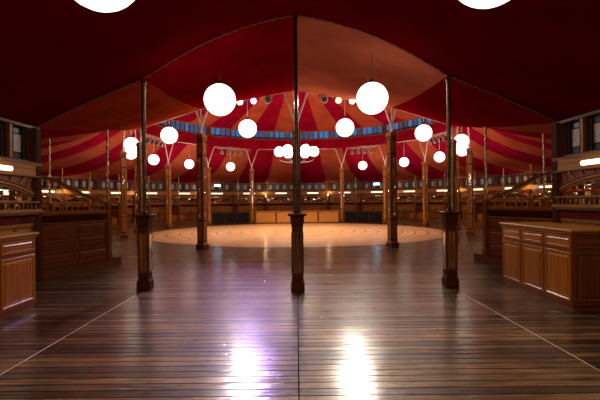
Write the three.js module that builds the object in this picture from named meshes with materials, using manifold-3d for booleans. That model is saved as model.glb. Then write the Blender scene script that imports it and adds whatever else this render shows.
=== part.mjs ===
// A spiegeltent: a round wooden dance tent with booths round its wall, a ring of
// posts under a striped cupola, and a gabled foyer in front. Millimetres, +Z up,
// origin on the ground under the middle of the dance floor, foyer towards -Y.
import * as THREE from "three";
import { mergeVertices } from "three/addons/utils/BufferGeometryUtils.js";
import Module from "manifold-3d";

const wasm = await Module();
wasm.setup();

// Driving dimensions. Heights are above the floor boards.
const FLOOR = 120; // top of the floor raft above the ground
const BAYS = 32;
const STEP = 360 / BAYS; // degrees of one bay
const ENTRY_BAYS = 2; // bays on each side of the axis that open into the foyer
const TOUCH = 0.4; // gap left between pieces that meet
const LAP = 5; // how far joined blocks run into each other
const CUT = 50; // how far a cutting block runs past the face it cuts

const WALL_RADIUS = 13260; // middle of the wall, at its corners
const WALL_THICK = 120;
const EAVE = 2960;
const WINDOW_LOW = 2300;
const WINDOW_HIGH = 2900;
const WINDOW_WIDE = 2260;
const GLASS_THICK = 8;
const GLASS_REBATE = { deep: 20, past: 30 }; // past: beyond the window's edges
const GLASS_PAST = 25;
const CORNER_POST = 155;
const FLOOR_LIP = 20; // floor showing outside the walls
const THRESHOLD = 80; // floor showing in front of the front wall
const SHELF = { low: 1290, high: 1380, deep: 130 };
const CORNICE = { low: 2010, high: 2230, deep: 60 };
const BACKREST = { low: 1130, high: 1270, deep: 60 };

const PLATFORM = { inner: 11100, high: 190 };
const PARTITION = { inner: 11500, thick: 60, rail: 1340, endHigh: 1500, wallHigh: 2000, band: 90 };
const BENCH = { high: 400, side: 420, wall: 450, start: 11640 };
const BOOTH_POLE = 27.5; // radius of the turned pole at each partition's end

const DANCE_RADIUS = 7000;
const RING_RADIUS = 7830;
const RING_POSTS = 16;
const POST = { wide: 230, high: 3600, plinth: 300, plinthHigh: 200, stub: 35, stubTop: 3900 };
const LAMPLESS_SIDES = [15, 17]; // over the far counter
const ARCH = { tube: 45, top: 5000, lean: 380, corner: 160, foot: 3880 };
const GLOBE = 280; // radius
const RING_GLOBE_HIGH = 3730;
const CLERESTORY = { low: 5000, sill: 5620, head: 6140, high: 6240, thick: 90, wide: 1280, mullion: 120 };

const LINING = 20; // thickness of the cloth and its battens
const LINING_ENDS = { wall: 2935, ring: 5005 };
const LINING_SAG = [[11800, 3140], [10400, 3500], [9200, 4020], [8400, 4560]]; // [radius, height]
const ROOF = { thick: 40, eaveRadius: 13460, top: 5560 };
const CUPOLA = { overhang: 8150, apex: 9300, knob: 420 };
const CUPOLA_LINING = [[5200, 6900], [2600, 7650], [60, 8550]]; // [radius, height], above its edge
const CUPOLA_LINING_EDGE = 6200;

const FOYER = { front: -22650, bays: 4, doorWide: 2400, doorHigh: 2450, overhang: 100, inset: 100 };
const ENTRY_POLE = { radius: 35, ring: 13400, neckLow: 1095, capLow: 1250, capHigh: 1290, baseHigh: 180 };
const PEDESTAL = { base: 225, shaft: 185, neck: 220, cap: 305 };
const ENTRY_HEIGHTS = [4580, 3620, 2960]; // ridge, side poles, wall corners
const ENTRY_RING_HEIGHTS = [4820, 4410, 4110]; // at the ring posts they reach
const FOYER_ROOF_LIFT = 200; // outer roof above the ridge of the lining
const COUNTER = { top: 40, lip: 40 };
const COUNTERS = {
  bar_counter_right: { x: [3650, 4400], y: [-14730, -12870], high: 1080 },
  bar_counter_left: { x: [-4550, -3800], y: [-16430, -14230], high: 1080 },
  far_counter: { x: [-2760, 2760], y: [6900, 7450], high: 820 },
};
const SCREEN = { thick: 60, high: 780, long: 2600 };
const CHANDELIER = { rod: 15, hub: 90, arm: 30, reach: 850, high: 3900, armHigh: 3400 };
const CHANDELIER_GLOBES = { count: 6, radius: 250 };
// Each lamp's x and y, its globe's middle and its rod's top, which ends inside the cloth before it is cut.
const FOYER_LAMPS = [
  [-1350, -12900, 3300, 4133], [1350, -12900, 3300, 4133],
  [-1330, -17400, 3100, 4101], [1330, -17400, 3100, 4101]];
const LAMP_ROD = { ring: 10, foyer: 8 }; // radius

const WOOD = { color: 0x9c5f2c, roughness: 0.45, metalness: 0 };
const DARK_WOOD = { color: 0x4a2a1a, roughness: 0.4, metalness: 0 };
const CRIMSON = { color: 0x8c1220, roughness: 0.9, metalness: 0 };
const CANVAS = { color: 0x6d1018, roughness: 0.9, metalness: 0 };
const METAL = { color: 0x2b2622, roughness: 0.35, metalness: 0.8 };
const OPAL = { color: 0xfff6e8, roughness: 0.2, metalness: 0 };
const GLASS = { color: 0x7d93a6, roughness: 0.1, metalness: 0 };

const spiegeltent = new THREE.Group();

// Tools for solids.

function addPiece(name, manifold, finish) {
  const mesh = manifold.getMesh();
  const geometry = new THREE.BufferGeometry();
  geometry.setAttribute("position", new THREE.BufferAttribute(mesh.vertProperties, 3));
  geometry.setIndex(new THREE.BufferAttribute(mesh.triVerts, 1));
  geometry.computeVertexNormals();
  const piece = new THREE.Mesh(geometry, new THREE.MeshStandardMaterial(finish));
  piece.name = name;
  spiegeltent.add(piece);
}

function solidOf(geometry) {
  const bare = geometry.clone();
  bare.deleteAttribute("normal");
  bare.deleteAttribute("uv");
  const merged = mergeVertices(bare, 0.001);
  return new wasm.Manifold(new wasm.Mesh({
    numProp: 3,
    vertProperties: Float32Array.from(merged.attributes.position.array),
    triVerts: Uint32Array.from(merged.index.array),
  }));
}

function unite(solids) {
  return solids.reduce((whole, next) => whole.add(next));
}

function shapeOf(points) {
  return new THREE.Shape(points.map(([x, y]) => new THREE.Vector2(x, y)));
}

function pathOf(points) {
  return new THREE.Path(points.map(([x, y]) => new THREE.Vector2(x, y)));
}

// A plan outline, [x, y] points, raised from low to high above the floor.
function prism(points, low, high, hole = null) {
  const shape = shapeOf(points);
  if (hole) shape.holes.push(hole);
  const geometry = new THREE.ExtrudeGeometry(shape, { depth: high - low, bevelEnabled: false });
  geometry.translate(0, 0, FLOOR + low);
  return solidOf(geometry);
}

function box(x0, x1, y0, y1, low, high) {
  const geometry = new THREE.BoxGeometry(x1 - x0, y1 - y0, high - low);
  geometry.translate((x0 + x1) / 2, (y0 + y1) / 2, FLOOR + (low + high) / 2);
  return solidOf(geometry);
}

// A point at a radius and an angle from the foyer's axis, in bays.
function polar(radius, bay) {
  const angle = THREE.MathUtils.degToRad(bay * STEP);
  return [radius * Math.sin(angle), -radius * Math.cos(angle)];
}

// Turns a geometry made along +X so that it points out of the middle at an angle in bays.
function aim(geometry, bay) {
  geometry.rotateZ(THREE.MathUtils.degToRad(bay * STEP - 90));
  return geometry;
}

// A post or rod standing at a radius and bay.
function upright(radiusTop, radiusFoot, sides, ring, bay, low, high) {
  const geometry = new THREE.CylinderGeometry(radiusTop, radiusFoot, high - low, sides);
  geometry.rotateX(Math.PI / 2);
  geometry.translate(ring, 0, FLOOR + (low + high) / 2);
  return solidOf(aim(geometry, bay));
}

// A square block standing at a radius and bay.
function squareBlock(wide, ring, bay, low, high) {
  const geometry = new THREE.BoxGeometry(wide, wide, high - low);
  geometry.translate(ring, 0, FLOOR + (low + high) / 2);
  return solidOf(aim(geometry, bay));
}

// A strip of the polygon between two radii, over bays from first to last.
function strip(inner, outer, first, last, low, high) {
  const bays = Array.from({ length: last - first + 1 }, (_, i) => first + i);
  const outline = [...bays.map((bay) => polar(outer, bay)), ...bays.reverse().map((bay) => polar(inner, bay))];
  return prism(outline, low, high);
}

// A block centred on a bay's flat side, at a distance from the middle.
function bayBlock(bay, near, far, wide, low, high) {
  const geometry = new THREE.BoxGeometry(far - near, wide, high - low);
  geometry.translate((near + far) / 2, 0, FLOOR + (low + high) / 2);
  return solidOf(aim(geometry, bay + 0.5));
}

// What lies between two angles, short of both by a margin.
function wedge(first, last, margin) {
  const far = 2 * WALL_RADIUS;
  const arc = Array.from({ length: last - first + 1 }, (_, i) => polar(far, first + i));
  const [x0, y0] = polar(margin, first + BAYS / 4);
  const [x1, y1] = polar(margin, last - BAYS / 4);
  arc[0] = [arc[0][0] + x0, arc[0][1] + y0];
  arc[arc.length - 1] = [arc[arc.length - 1][0] + x1, arc[arc.length - 1][1] + y1];
  return prism([[x0 + x1, y0 + y1], ...arc], -FLOOR, 2 * CUPOLA.apex);
}

// A slab bent over a grid: at(u, v) gives [x, y, height] of its underside.
function bentSlab(columns, rows, thick, at) {
  const geometry = new THREE.BoxGeometry(1, 1, 1, columns, rows, 1);
  const position = geometry.attributes.position;
  for (let i = 0; i < position.count; i += 1) {
    const [x, y, z] = at(position.getX(i) + 0.5, position.getY(i) + 0.5);
    position.setXYZ(i, x, y, FLOOR + z + (position.getZ(i) > 0 ? thick : 0));
  }
  return solidOf(geometry);
}

// Height on a list of [distance, height] points, straight between them.
function heightOn(profile, distance) {
  for (let i = 1; i < profile.length; i += 1) {
    const [d0, h0] = profile[i - 1];
    const [d1, h1] = profile[i];
    if ((distance - d0) * (distance - d1) <= 0) return h0 + ((h1 - h0) * (distance - d0)) / (d1 - d0);
  }
  return profile[profile.length - 1][1];
}

// The ring of posts has half as many sides as the wall, so every other bay line meets it on a side.
function ringReach(radius, bay) {
  const halfSide = THREE.MathUtils.degToRad(STEP);
  const offset = Math.abs(((bay + 1) % 2 + 2) % 2 - 1);
  return (radius * Math.cos(halfSide)) / Math.cos(halfSide * (1 - offset));
}

const FIRST = ENTRY_BAYS;
const LAST = BAYS - ENTRY_BAYS;
const WALL_INNER = WALL_RADIUS - WALL_THICK / 2;
const WALL_OUTER = WALL_RADIUS + WALL_THICK / 2;
const FLAT = Math.cos(THREE.MathUtils.degToRad(STEP / 2)); // a side's distance over its corners'
const [CORNER_X, CORNER_Y] = polar(WALL_RADIUS, FIRST);
const FOYER_OUT = CORNER_X + WALL_THICK / 2;
const FOYER_IN = CORNER_X - WALL_THICK / 2;
const POST_ROOM = CORNER_POST / 2 + TOUCH;
const cornerPosts = unite([-CORNER_X, CORNER_X].map((x) => box(
  x - POST_ROOM, x + POST_ROOM, CORNER_Y - POST_ROOM, CORNER_Y + POST_ROOM, -1, EAVE + 1)));
const RING_FACE = RING_RADIUS + CLERESTORY.thick / 2 + TOUCH;
const LINING_PROFILE = [[WALL_INNER - TOUCH, LINING_ENDS.wall], ...LINING_SAG, [RING_FACE, LINING_ENDS.ring]];

// Floors.

function makeFloor() {
  const side = FOYER_OUT + FLOOR_LIP;
  const front = FOYER.front - THRESHOLD;
  const outline = [[-side, front], [side, front], [side, CORNER_Y]];
  for (let bay = FIRST + 1; bay < LAST; bay += 1) outline.push(polar(WALL_OUTER + FLOOR_LIP, bay));
  outline.push([-side, CORNER_Y]);
  const circle = (radius) => Array.from({ length: 2 * BAYS }, (_, i) => polar(radius, i / 2));
  addPiece("floor_deck", prism(outline, -FLOOR, 0, pathOf(circle(DANCE_RADIUS + TOUCH))), DARK_WOOD);
  addPiece("dance_floor", prism(circle(DANCE_RADIUS), -FLOOR, 0), WOOD);

  const platform = strip(PLATFORM.inner, WALL_INNER - TOUCH, FIRST, LAST, 0, PLATFORM.high);
  addPiece("booth_platform", platform.subtract(cornerPosts), DARK_WOOD);
}

// Walls, in four arcs of seven bays, and their glass.

const ARCS = 4;
const ARC_BAYS = (LAST - FIRST) / ARCS;

function makeRoundWall(arc) {
  const first = FIRST + arc * ARC_BAYS;
  const last = first + ARC_BAYS;
  const { deep, past } = GLASS_REBATE;
  const face = WALL_INNER * FLAT;
  const shelfWide = 2 * WALL_INNER * Math.tan(THREE.MathUtils.degToRad(STEP / 2)) - 2 * PARTITION.thick;
  let wall = strip(WALL_INNER, WALL_OUTER, first, last, 0, EAVE);
  wall = wall.add(strip(WALL_INNER - CORNICE.deep, WALL_INNER + LAP, first, last, CORNICE.low, CORNICE.high));
  wall = wall.subtract(
    strip(WALL_OUTER - deep, WALL_OUTER + CUT, first, last, WINDOW_LOW - past, WINDOW_HIGH + past));
  for (let bay = first; bay < last; bay += 1) {
    wall = wall.subtract(bayBlock(bay, face - CUT, WALL_OUTER, WINDOW_WIDE, WINDOW_LOW, WINDOW_HIGH));
    wall = wall.add(bayBlock(bay, face - SHELF.deep, face + LAP, shelfWide, SHELF.low, SHELF.high));
  }
  wall = wall.intersect(wedge(first, last, TOUCH / 2)).subtract(cornerPosts);
  addPiece(`round_wall_${arc + 1}`, wall, WOOD);
}

function makeRoundGlass() {
  const back = WALL_OUTER - GLASS_REBATE.deep + TOUCH;
  const glass = strip(back, back + GLASS_THICK, FIRST, LAST, WINDOW_LOW - GLASS_PAST, WINDOW_HIGH + GLASS_PAST);
  addPiece("window_glass", glass.subtract(cornerPosts), GLASS);
}

function makeFoyerSide(side, name) {
  const far = CORNER_Y;
  const near = FOYER.front + WALL_THICK / 2 + TOUCH;
  const bayLong = (far - near) / FOYER.bays;
  const { deep, past } = GLASS_REBATE;
  const block = (x0, x1, y0, y1, low, high) =>
    box(Math.min(side * x0, side * x1), Math.max(side * x0, side * x1), y0, y1, low, high);
  let wall = block(FOYER_IN, FOYER_OUT, near, far, 0, EAVE);
  wall = wall.add(block(FOYER_IN - CORNICE.deep, FOYER_IN + LAP, near, far, CORNICE.low, CORNICE.high));
  wall = wall.add(block(FOYER_IN - SHELF.deep, FOYER_IN + LAP, near, far - CORNER_POST, SHELF.low, SHELF.high));
  wall = wall.subtract(block(FOYER_OUT - deep, FOYER_OUT + CUT, near + FOYER.inset, far - FOYER.inset,
    WINDOW_LOW - past, WINDOW_HIGH + past));
  for (let i = 0; i < FOYER.bays; i += 1) {
    const middle = near + (i + 0.5) * bayLong;
    wall = wall.subtract(block(FOYER_IN - CUT, FOYER_OUT + CUT, middle - WINDOW_WIDE / 2,
      middle + WINDOW_WIDE / 2, WINDOW_LOW, WINDOW_HIGH));
  }
  const half = CORNER_POST / 2;
  wall = wall.add(block(CORNER_X - half, CORNER_X + half, CORNER_Y - half, CORNER_Y + half, 0, EAVE));
  addPiece(`foyer_wall_${name}`, wall, WOOD);
  const back = FOYER_OUT - deep + TOUCH;
  const inset = FOYER.inset + LAP;
  addPiece(`foyer_glass_${name}`, block(back, back + GLASS_THICK, near + inset, far - inset,
    WINDOW_LOW - GLASS_PAST, WINDOW_HIGH + GLASS_PAST), GLASS);
}

function makeFrontWall() {
  const y0 = FOYER.front - WALL_THICK / 2;
  const y1 = FOYER.front + WALL_THICK / 2;
  const gable = [
    [-FOYER_OUT, 0], [FOYER_OUT, 0], [FOYER_OUT, EAVE], [0, RIDGE_ROOF - TOUCH], [-FOYER_OUT, EAVE]];
  const geometry = new THREE.ExtrudeGeometry(shapeOf(gable), { depth: WALL_THICK, bevelEnabled: false });
  geometry.rotateX(Math.PI / 2);
  geometry.translate(0, y1, FLOOR);
  const half = FOYER.doorWide / 2;
  const doorway = box(-half, half, y0 - CUT, y1 + CUT, -CUT, FOYER.doorHigh);
  addPiece("front_wall", solidOf(geometry).subtract(doorway), WOOD);
}

// Booths: partitions with a turned pole at the end, and benches on three sides.

function makePartition(bay) {
  const { inner, thick, rail, endHigh, wallHigh, band } = PARTITION;
  const outer = WALL_INNER - LAP;
  const swan = (r) => {
    const t = (r - inner) / (outer - inner);
    return endHigh + (wallHigh - endHigh) * t * t * (3 - 2 * t);
  };
  const stops = [0, 0.25, 0.5, 0.75, 1].map((t) => inner + t * (outer - inner));
  const notch = outer - BACKREST.deep - LAP;
  const notchLow = BACKREST.low - LAP;
  const notchHigh = BACKREST.high + LAP;
  const shape = shapeOf([
    [inner, PLATFORM.high], [outer, PLATFORM.high], [outer, notchLow], [notch, notchLow], [notch, notchHigh],
    [outer, notchHigh], ...stops.reverse().map((r) => [r, swan(r)])]);
  const holeStops = [0.08, 0.5, 0.95].map((t) => inner + t * (outer - inner));
  const hole = [...holeStops.map((r) => [r, swan(r) - band]), [holeStops[2], rail], [holeStops[0], rail]];
  shape.holes.push(pathOf(hole));
  const geometry = new THREE.ExtrudeGeometry(shape, { depth: thick, bevelEnabled: false });
  geometry.rotateX(Math.PI / 2);
  geometry.translate(0, thick / 2, FLOOR);
  const poleTop = heightOn(LINING_PROFILE, inner + BOOTH_POLE) - TOUCH;
  const pole = upright(BOOTH_POLE, BOOTH_POLE, 6, inner, bay, PLATFORM.high, poleTop);
  return solidOf(aim(geometry, bay)).add(pole);
}

function makeBench(bay, reachNext) {
  const half = THREE.MathUtils.degToRad(STEP / 2);
  const back = WALL_INNER * FLAT - TOUCH;
  const front = BENCH.start * FLAT;
  const turn = back - BENCH.wall;
  const side = (d) => d * Math.tan(half);
  const next = (d) => side(d) - (reachNext ? 0 : PARTITION.thick / 2 + TOUCH);
  const outline = [[front, -side(front)], [back, -side(back)], [back, next(back)], [front, next(front)],
    [front, side(front) - BENCH.side], [turn, side(turn) - BENCH.side], [turn, BENCH.side - side(turn)],
    [front, BENCH.side - side(front)]];
  const geometry = new THREE.ExtrudeGeometry(shapeOf(outline), { depth: BENCH.high, bevelEnabled: false });
  geometry.translate(0, 0, FLOOR + PLATFORM.high);
  return solidOf(aim(geometry, bay + 0.5));
}

function makeBoothRow(arc) {
  const first = FIRST + arc * ARC_BAYS;
  const last = first + ARC_BAYS;
  const solids = [];
  for (let bay = first; bay < last; bay += 1) {
    solids.push(makePartition(bay));
    solids.push(makeBench(bay, bay < last - 1 || arc === ARCS - 1));
  }
  if (arc === ARCS - 1) solids.push(makePartition(last));
  addPiece(`booth_row_${arc + 1}`, unite(solids).subtract(cornerPosts), WOOD);
}

function makeBackrest() {
  const outer = WALL_INNER - TOUCH;
  const band = strip(outer - BACKREST.deep, outer, FIRST, LAST, BACKREST.low, BACKREST.high);
  addPiece("wall_backrest", band.subtract(cornerPosts), CRIMSON);
}

// The ring of posts with bent-tube arches and globe lamps, in four quarters.

const RING_SIDE = 2 * RING_RADIUS * Math.sin(THREE.MathUtils.degToRad(STEP)); // between neighbouring posts
const RING_REACH = RING_RADIUS * Math.cos(THREE.MathUtils.degToRad(STEP)); // to the middle of a side

function makePost(bay) {
  const { wide, high, plinth, plinthHigh, stub, stubTop } = POST;
  return unite([
    squareBlock(wide, RING_RADIUS, bay, 0, high),
    squareBlock(plinth, RING_RADIUS, bay, 0, plinthHigh),
    upright(stub, stub, 6, RING_RADIUS, bay, high - LAP, stubTop),
  ]);
}

function makeArch(bay) {
  const { tube, top, lean, corner, foot } = ARCH;
  const half = RING_SIDE / 2;
  const outer = [[half - LAP, foot], [half - lean, top - corner], [half - lean - corner, top]];
  const inner = [
    [half - 1.7 * tube, foot - tube], [half - lean - tube, top - corner - tube],
    [half - lean - corner - tube / 2, top - tube]];
  const mirrored = (points) => points.map(([x, z]) => [-x, z]);
  const outline = [...outer, ...mirrored(outer).reverse(), ...mirrored(inner), ...inner.slice().reverse()];
  const geometry = new THREE.ExtrudeGeometry(shapeOf(outline), { depth: tube, bevelEnabled: false });
  geometry.rotateX(Math.PI / 2);
  geometry.translate(0, tube / 2, FLOOR - TOUCH);
  geometry.rotateZ(Math.PI / 2);
  geometry.translate(RING_REACH, 0, 0);
  return solidOf(aim(geometry, bay + 1));
}

function globe(radius, x, y, high) {
  const geometry = new THREE.SphereGeometry(radius, 10, 6);
  geometry.rotateX(Math.PI / 2);
  geometry.translate(x, y, FLOOR + high);
  return solidOf(geometry);
}

function makeRingQuarter(quarter) {
  const posts = RING_POSTS / 4;
  const rod = LAMP_ROD.ring;
  const solids = [];
  for (let i = 0; i < posts; i += 1) {
    const bay = 2 * (quarter * posts + i);
    const [x, y] = polar(RING_REACH, bay + 1);
    solids.push(makePost(bay), makeArch(bay));
    if (LAMPLESS_SIDES.includes(bay + 1)) continue;
    const [rodLow, rodHigh] = [RING_GLOBE_HIGH + GLOBE - rod, ARCH.top - ARCH.tube + LAP];
    solids.push(upright(rod, rod, 6, RING_REACH, bay + 1, rodLow, rodHigh));
    solids.push(globe(GLOBE, x, y, RING_GLOBE_HIGH));
  }
  const next = 2 * (quarter + 1) * posts;
  const room = POST.stub + TOUCH;
  const clear = upright(room, room, 6, RING_RADIUS, next, POST.high - CUT, POST.stubTop + 1);
  const limit = wedge(2 * quarter * posts - 1, next, TOUCH / 2);
  addPiece(`post_ring_${quarter + 1}`, unite(solids).subtract(clear).intersect(limit), WOOD);
}

// The band of small windows over the ring.

function makeClerestory() {
  const { low, sill, head, high, thick, wide, mullion } = CLERESTORY;
  const { deep, past } = GLASS_REBATE;
  const ringOf = (radius) => Array.from({ length: RING_POSTS }, (_, i) => polar(radius, 2 * i));
  const back = RING_RADIUS + thick / 2 - deep;
  let band = prism(ringOf(RING_RADIUS + thick / 2), low, high, pathOf(ringOf(RING_RADIUS - thick / 2)));
  band = band.subtract(prism(ringOf(RING_RADIUS + thick), sill - past, head + past, pathOf(ringOf(back))));
  for (let i = 0; i < RING_POSTS; i += 1) {
    for (const side of [-1, 1]) {
      const geometry = new THREE.BoxGeometry(4 * thick, wide, head - sill);
      geometry.translate(RING_REACH, (side * (wide + mullion)) / 2, FLOOR + (sill + head) / 2);
      band = band.subtract(solidOf(aim(geometry, 2 * i + 1)));
    }
  }
  addPiece("clerestory_band", band, WOOD);
  const pane = prism(
    ringOf(back + TOUCH + GLASS_THICK), sill - GLASS_PAST, head + GLASS_PAST, pathOf(ringOf(back + TOUCH)));
  addPiece("clerestory_glass", pane, GLASS);
}

// Cloth linings and outer roofs.

const ON_WALL = EAVE + TOUCH;
const ROOF_SLOPE = (ROOF.top - ON_WALL) / (WALL_OUTER - RING_FACE);
const RIDGE_ROOF = ENTRY_HEIGHTS[0] + FOYER_ROOF_LIFT;
const FOYER_SLOPE = (RIDGE_ROOF - ON_WALL) / (CORNER_X + CORNER_POST / 2);
const FOYER_EAVE = FOYER_OUT + FOYER.overhang;

// Plan of the entrance sector: it widens from the foyer to the second ring post on each side.
function entrySpace() {
  const [ringX, ringY] = polar(RING_FACE, 2 * ENTRY_BAYS);
  const further = 0.1;
  const innerX = ringX + further * (ringX - CORNER_X) + TOUCH;
  const innerY = ringY + further * (ringY - CORNER_Y);
  const eave = FOYER_EAVE + TOUCH;
  const right = [[innerX, innerY], [CORNER_X + TOUCH, CORNER_Y], [eave, CORNER_Y], [eave, 2 * CORNER_Y]];
  const left = right.map(([x, y]) => [-x, y]).reverse();
  return prism([...right, ...left], -FLOOR, CUPOLA.apex);
}

function makeRoundLining(first, last, name, cut) {
  const lining = bentSlab(last - first, LINING_PROFILE.length - 1, LINING, (u, v) => {
    const bay = first + u * (last - first);
    const [ring, height] = LINING_PROFILE[Math.round(v * (LINING_PROFILE.length - 1))];
    const [x, y] = polar(v === 1 ? ringReach(ring, bay) : ring, bay);
    return [x, y, height];
  });
  addPiece(name, lining.subtract(cut).subtract(cornerPosts).intersect(wedge(first, last, TOUCH / 2)), CRIMSON);
}

function makeRoundRoof(first, last, name, cut) {
  const eaveHeight = ON_WALL - ROOF_SLOPE * (ROOF.eaveRadius - WALL_OUTER);
  const rows = [[ROOF.eaveRadius, eaveHeight], [WALL_OUTER, ON_WALL], [RING_FACE, ROOF.top]];
  const roof = bentSlab(last - first, rows.length - 1, ROOF.thick, (u, v) => {
    const bay = first + u * (last - first);
    const [ring, height] = rows[Math.round(v * (rows.length - 1))];
    const [x, y] = polar(v === 1 ? ringReach(ring, bay) : ring, bay);
    return [x, y, height];
  });
  addPiece(name, roof.subtract(cut).intersect(wedge(first, last, TOUCH / 2)), CANVAS);
}

// The line where foyer and round tent are laced: wall corners, side poles, ridge pole.
const JUNCTION = [
  [0, polar(ENTRY_POLE.ring, 0)[1]],
  polar(ENTRY_POLE.ring, 1),
  [CORNER_X, CORNER_Y],
  [FOYER_EAVE, CORNER_Y],
];
const LINING_GABLE = [
  [0, ENTRY_HEIGHTS[0]], [JUNCTION[1][0], ENTRY_HEIGHTS[1]], [CORNER_X, ENTRY_HEIGHTS[2] + TOUCH]];
const LINING_RING = RING_RADIUS + ARCH.tube / 2 + 4 * TOUCH; // the entrance lining ends here
const LINING_AT_RING = ENTRY_RING_HEIGHTS.map((height, pole) => [pole, height]);
const foyerRoofHeight = (x) => RIDGE_ROOF - FOYER_SLOPE * Math.abs(x);

function makeEntrySheet(name, thick, ringRadius, outerHeight, innerHeight, finish) {
  const columns = 8;
  const sheet = bentSlab(columns, 4, thick, (u, v) => {
    const across = (u - 0.5) * 4; // in poles, from -2 to 2
    const side = Math.sign(across) || 1;
    const place = Math.abs(across);
    const whole = Math.min(1, Math.floor(place));
    const mix = (a, b) => a + (b - a) * (place - whole);
    const outerX = side * mix(JUNCTION[whole][0], JUNCTION[whole + 1][0]);
    const outerY = mix(JUNCTION[whole][1], JUNCTION[whole + 1][1]) + TOUCH;
    const near = polar(ringRadius, 2 * whole);
    const far = polar(ringRadius, 2 * whole + 2);
    const innerX = side * mix(near[0], far[0]);
    const innerY = mix(near[1], far[1]);
    const height = outerHeight(Math.abs(outerX)) * (1 - v) + innerHeight(place) * v;
    return [outerX + (innerX - outerX) * v, outerY + (innerY - outerY) * v, height];
  });
  addPiece(name, sheet, finish);
  return sheet;
}

function makeFoyerSheet(name, thick, reach, start, heightAt, finish) {
  const stops = [-reach, -(reach + JUNCTION[1][0]) / 2, -JUNCTION[1][0], -JUNCTION[1][0] / 2, 0];
  const columns = [...stops, ...stops.slice(0, -1).reverse().map((x) => -x)];
  const sheet = bentSlab(columns.length - 1, 4, thick, (u, v) => {
    const x = columns[Math.round(u * (columns.length - 1))];
    const end = heightOn(JUNCTION, Math.abs(x));
    return [x, start + (end - start) * v, heightAt(Math.abs(x))];
  });
  addPiece(name, sheet, finish);
  return sheet;
}

function makeCloths() {
  const cut = entrySpace();
  const middle = BAYS / 2;
  makeRoundLining(FIRST, middle, "lining_right", cut);
  makeRoundLining(middle, LAST, "lining_left", cut);
  makeRoundRoof(FIRST, middle, "outer_roof_right", cut);
  makeRoundRoof(middle, LAST, "outer_roof_left", cut);
  const entrance = makeEntrySheet("entrance_lining", LINING, LINING_RING, (x) => heightOn(LINING_GABLE, x),
    (place) => heightOn(LINING_AT_RING, place), CANVAS);
  makeEntrySheet("entrance_roof", ROOF.thick, RING_FACE, foyerRoofHeight, () => ROOF.top, CANVAS);
  const foyer = makeFoyerSheet("foyer_lining", LINING, CORNER_X, FOYER.front + WALL_THICK / 2 + TOUCH,
    (x) => heightOn(LINING_GABLE, x), CANVAS);
  makeFoyerSheet("foyer_roof", ROOF.thick, FOYER_EAVE, FOYER.front - WALL_THICK / 2 - FOYER.overhang,
    foyerRoofHeight, CANVAS);
  return [entrance, foyer];
}

function cone(radius, low, apex) {
  const geometry = new THREE.ConeGeometry(radius, apex - low, RING_POSTS);
  geometry.rotateX(Math.PI / 2);
  geometry.translate(0, 0, FLOOR + (low + apex) / 2);
  return solidOf(geometry);
}

function makeCupola() {
  const { overhang, apex, knob } = CUPOLA;
  const rest = CLERESTORY.high + TOUCH;
  const slope = (apex - rest) / (RING_RADIUS + CLERESTORY.thick / 2);
  const low = apex - slope * overhang;
  const shell = cone(overhang, low + ROOF.thick, apex + ROOF.thick).subtract(cone(overhang, low, apex));
  const finial = upright(0.15 * knob, 0.2 * knob, 8, 0, 0, apex, apex + knob);
  addPiece("cupola_roof", shell.add(finial), CANVAS);

  const edge = RING_RADIUS - CLERESTORY.thick / 2 - TOUCH;
  const under = [[edge, CUPOLA_LINING_EDGE], ...CUPOLA_LINING];
  const outline = [...under, ...under.map(([r, z]) => [r, z + LINING]).reverse(), under[0]];
  const turned = outline.map(([r, z]) => new THREE.Vector2(r, z)).reverse();
  const geometry = new THREE.LatheGeometry(turned, RING_POSTS);
  geometry.rotateX(Math.PI / 2);
  geometry.translate(0, 0, FLOOR);
  addPiece("cupola_lining", solidOf(geometry), CRIMSON);
  return apex - slope * CHANDELIER.rod - TOUCH;
}

// Poles on pedestals along the junction of foyer and round tent.

function makeEntryPole(bay, name, topHeight) {
  const { radius, ring, baseHigh, neckLow, capLow, capHigh } = ENTRY_POLE;
  const { base, shaft, neck, cap } = PEDESTAL;
  const [x, y] = polar(ring, bay);
  const block = (wide, low, high) => {
    const geometry = new THREE.BoxGeometry(wide, wide, high - low);
    geometry.translate(x, y, FLOOR + (low + high) / 2);
    return solidOf(geometry);
  };
  const steep = 0.45; // room under cloth that slopes away from the pole
  const pole = upright(radius, radius, 12, ring, bay, capHigh - LAP, topHeight - steep * radius - TOUCH);
  const pedestal = [
    block(base, 0, baseHigh), block(shaft, 0, neckLow + LAP),
    block(neck, neckLow, capLow), block(cap, capLow - LAP, capHigh)];
  addPiece(name, unite([...pedestal, pole]), DARK_WOOD);
}

// Counters, each a body under an overhanging top, and low screens between ring posts.

function makeCounter(name, place) {
  const { lip, top } = COUNTER;
  const { x: [x0, x1], y: [y0, y1], high } = place;
  const body = box(x0, x1, y0, y1, 0, high - top + LAP);
  addPiece(name, body.add(box(x0 - lip, x1 + lip, y0 - lip, y1 + lip, high - top, high)), WOOD);
}

function makeLowScreen(name, bay) {
  const { thick, long, high } = SCREEN;
  const geometry = new THREE.BoxGeometry(thick, long, high);
  geometry.translate(RING_REACH, 0, FLOOR + high / 2);
  addPiece(name, solidOf(aim(geometry, bay)), DARK_WOOD);
}

// Lamps.

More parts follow.
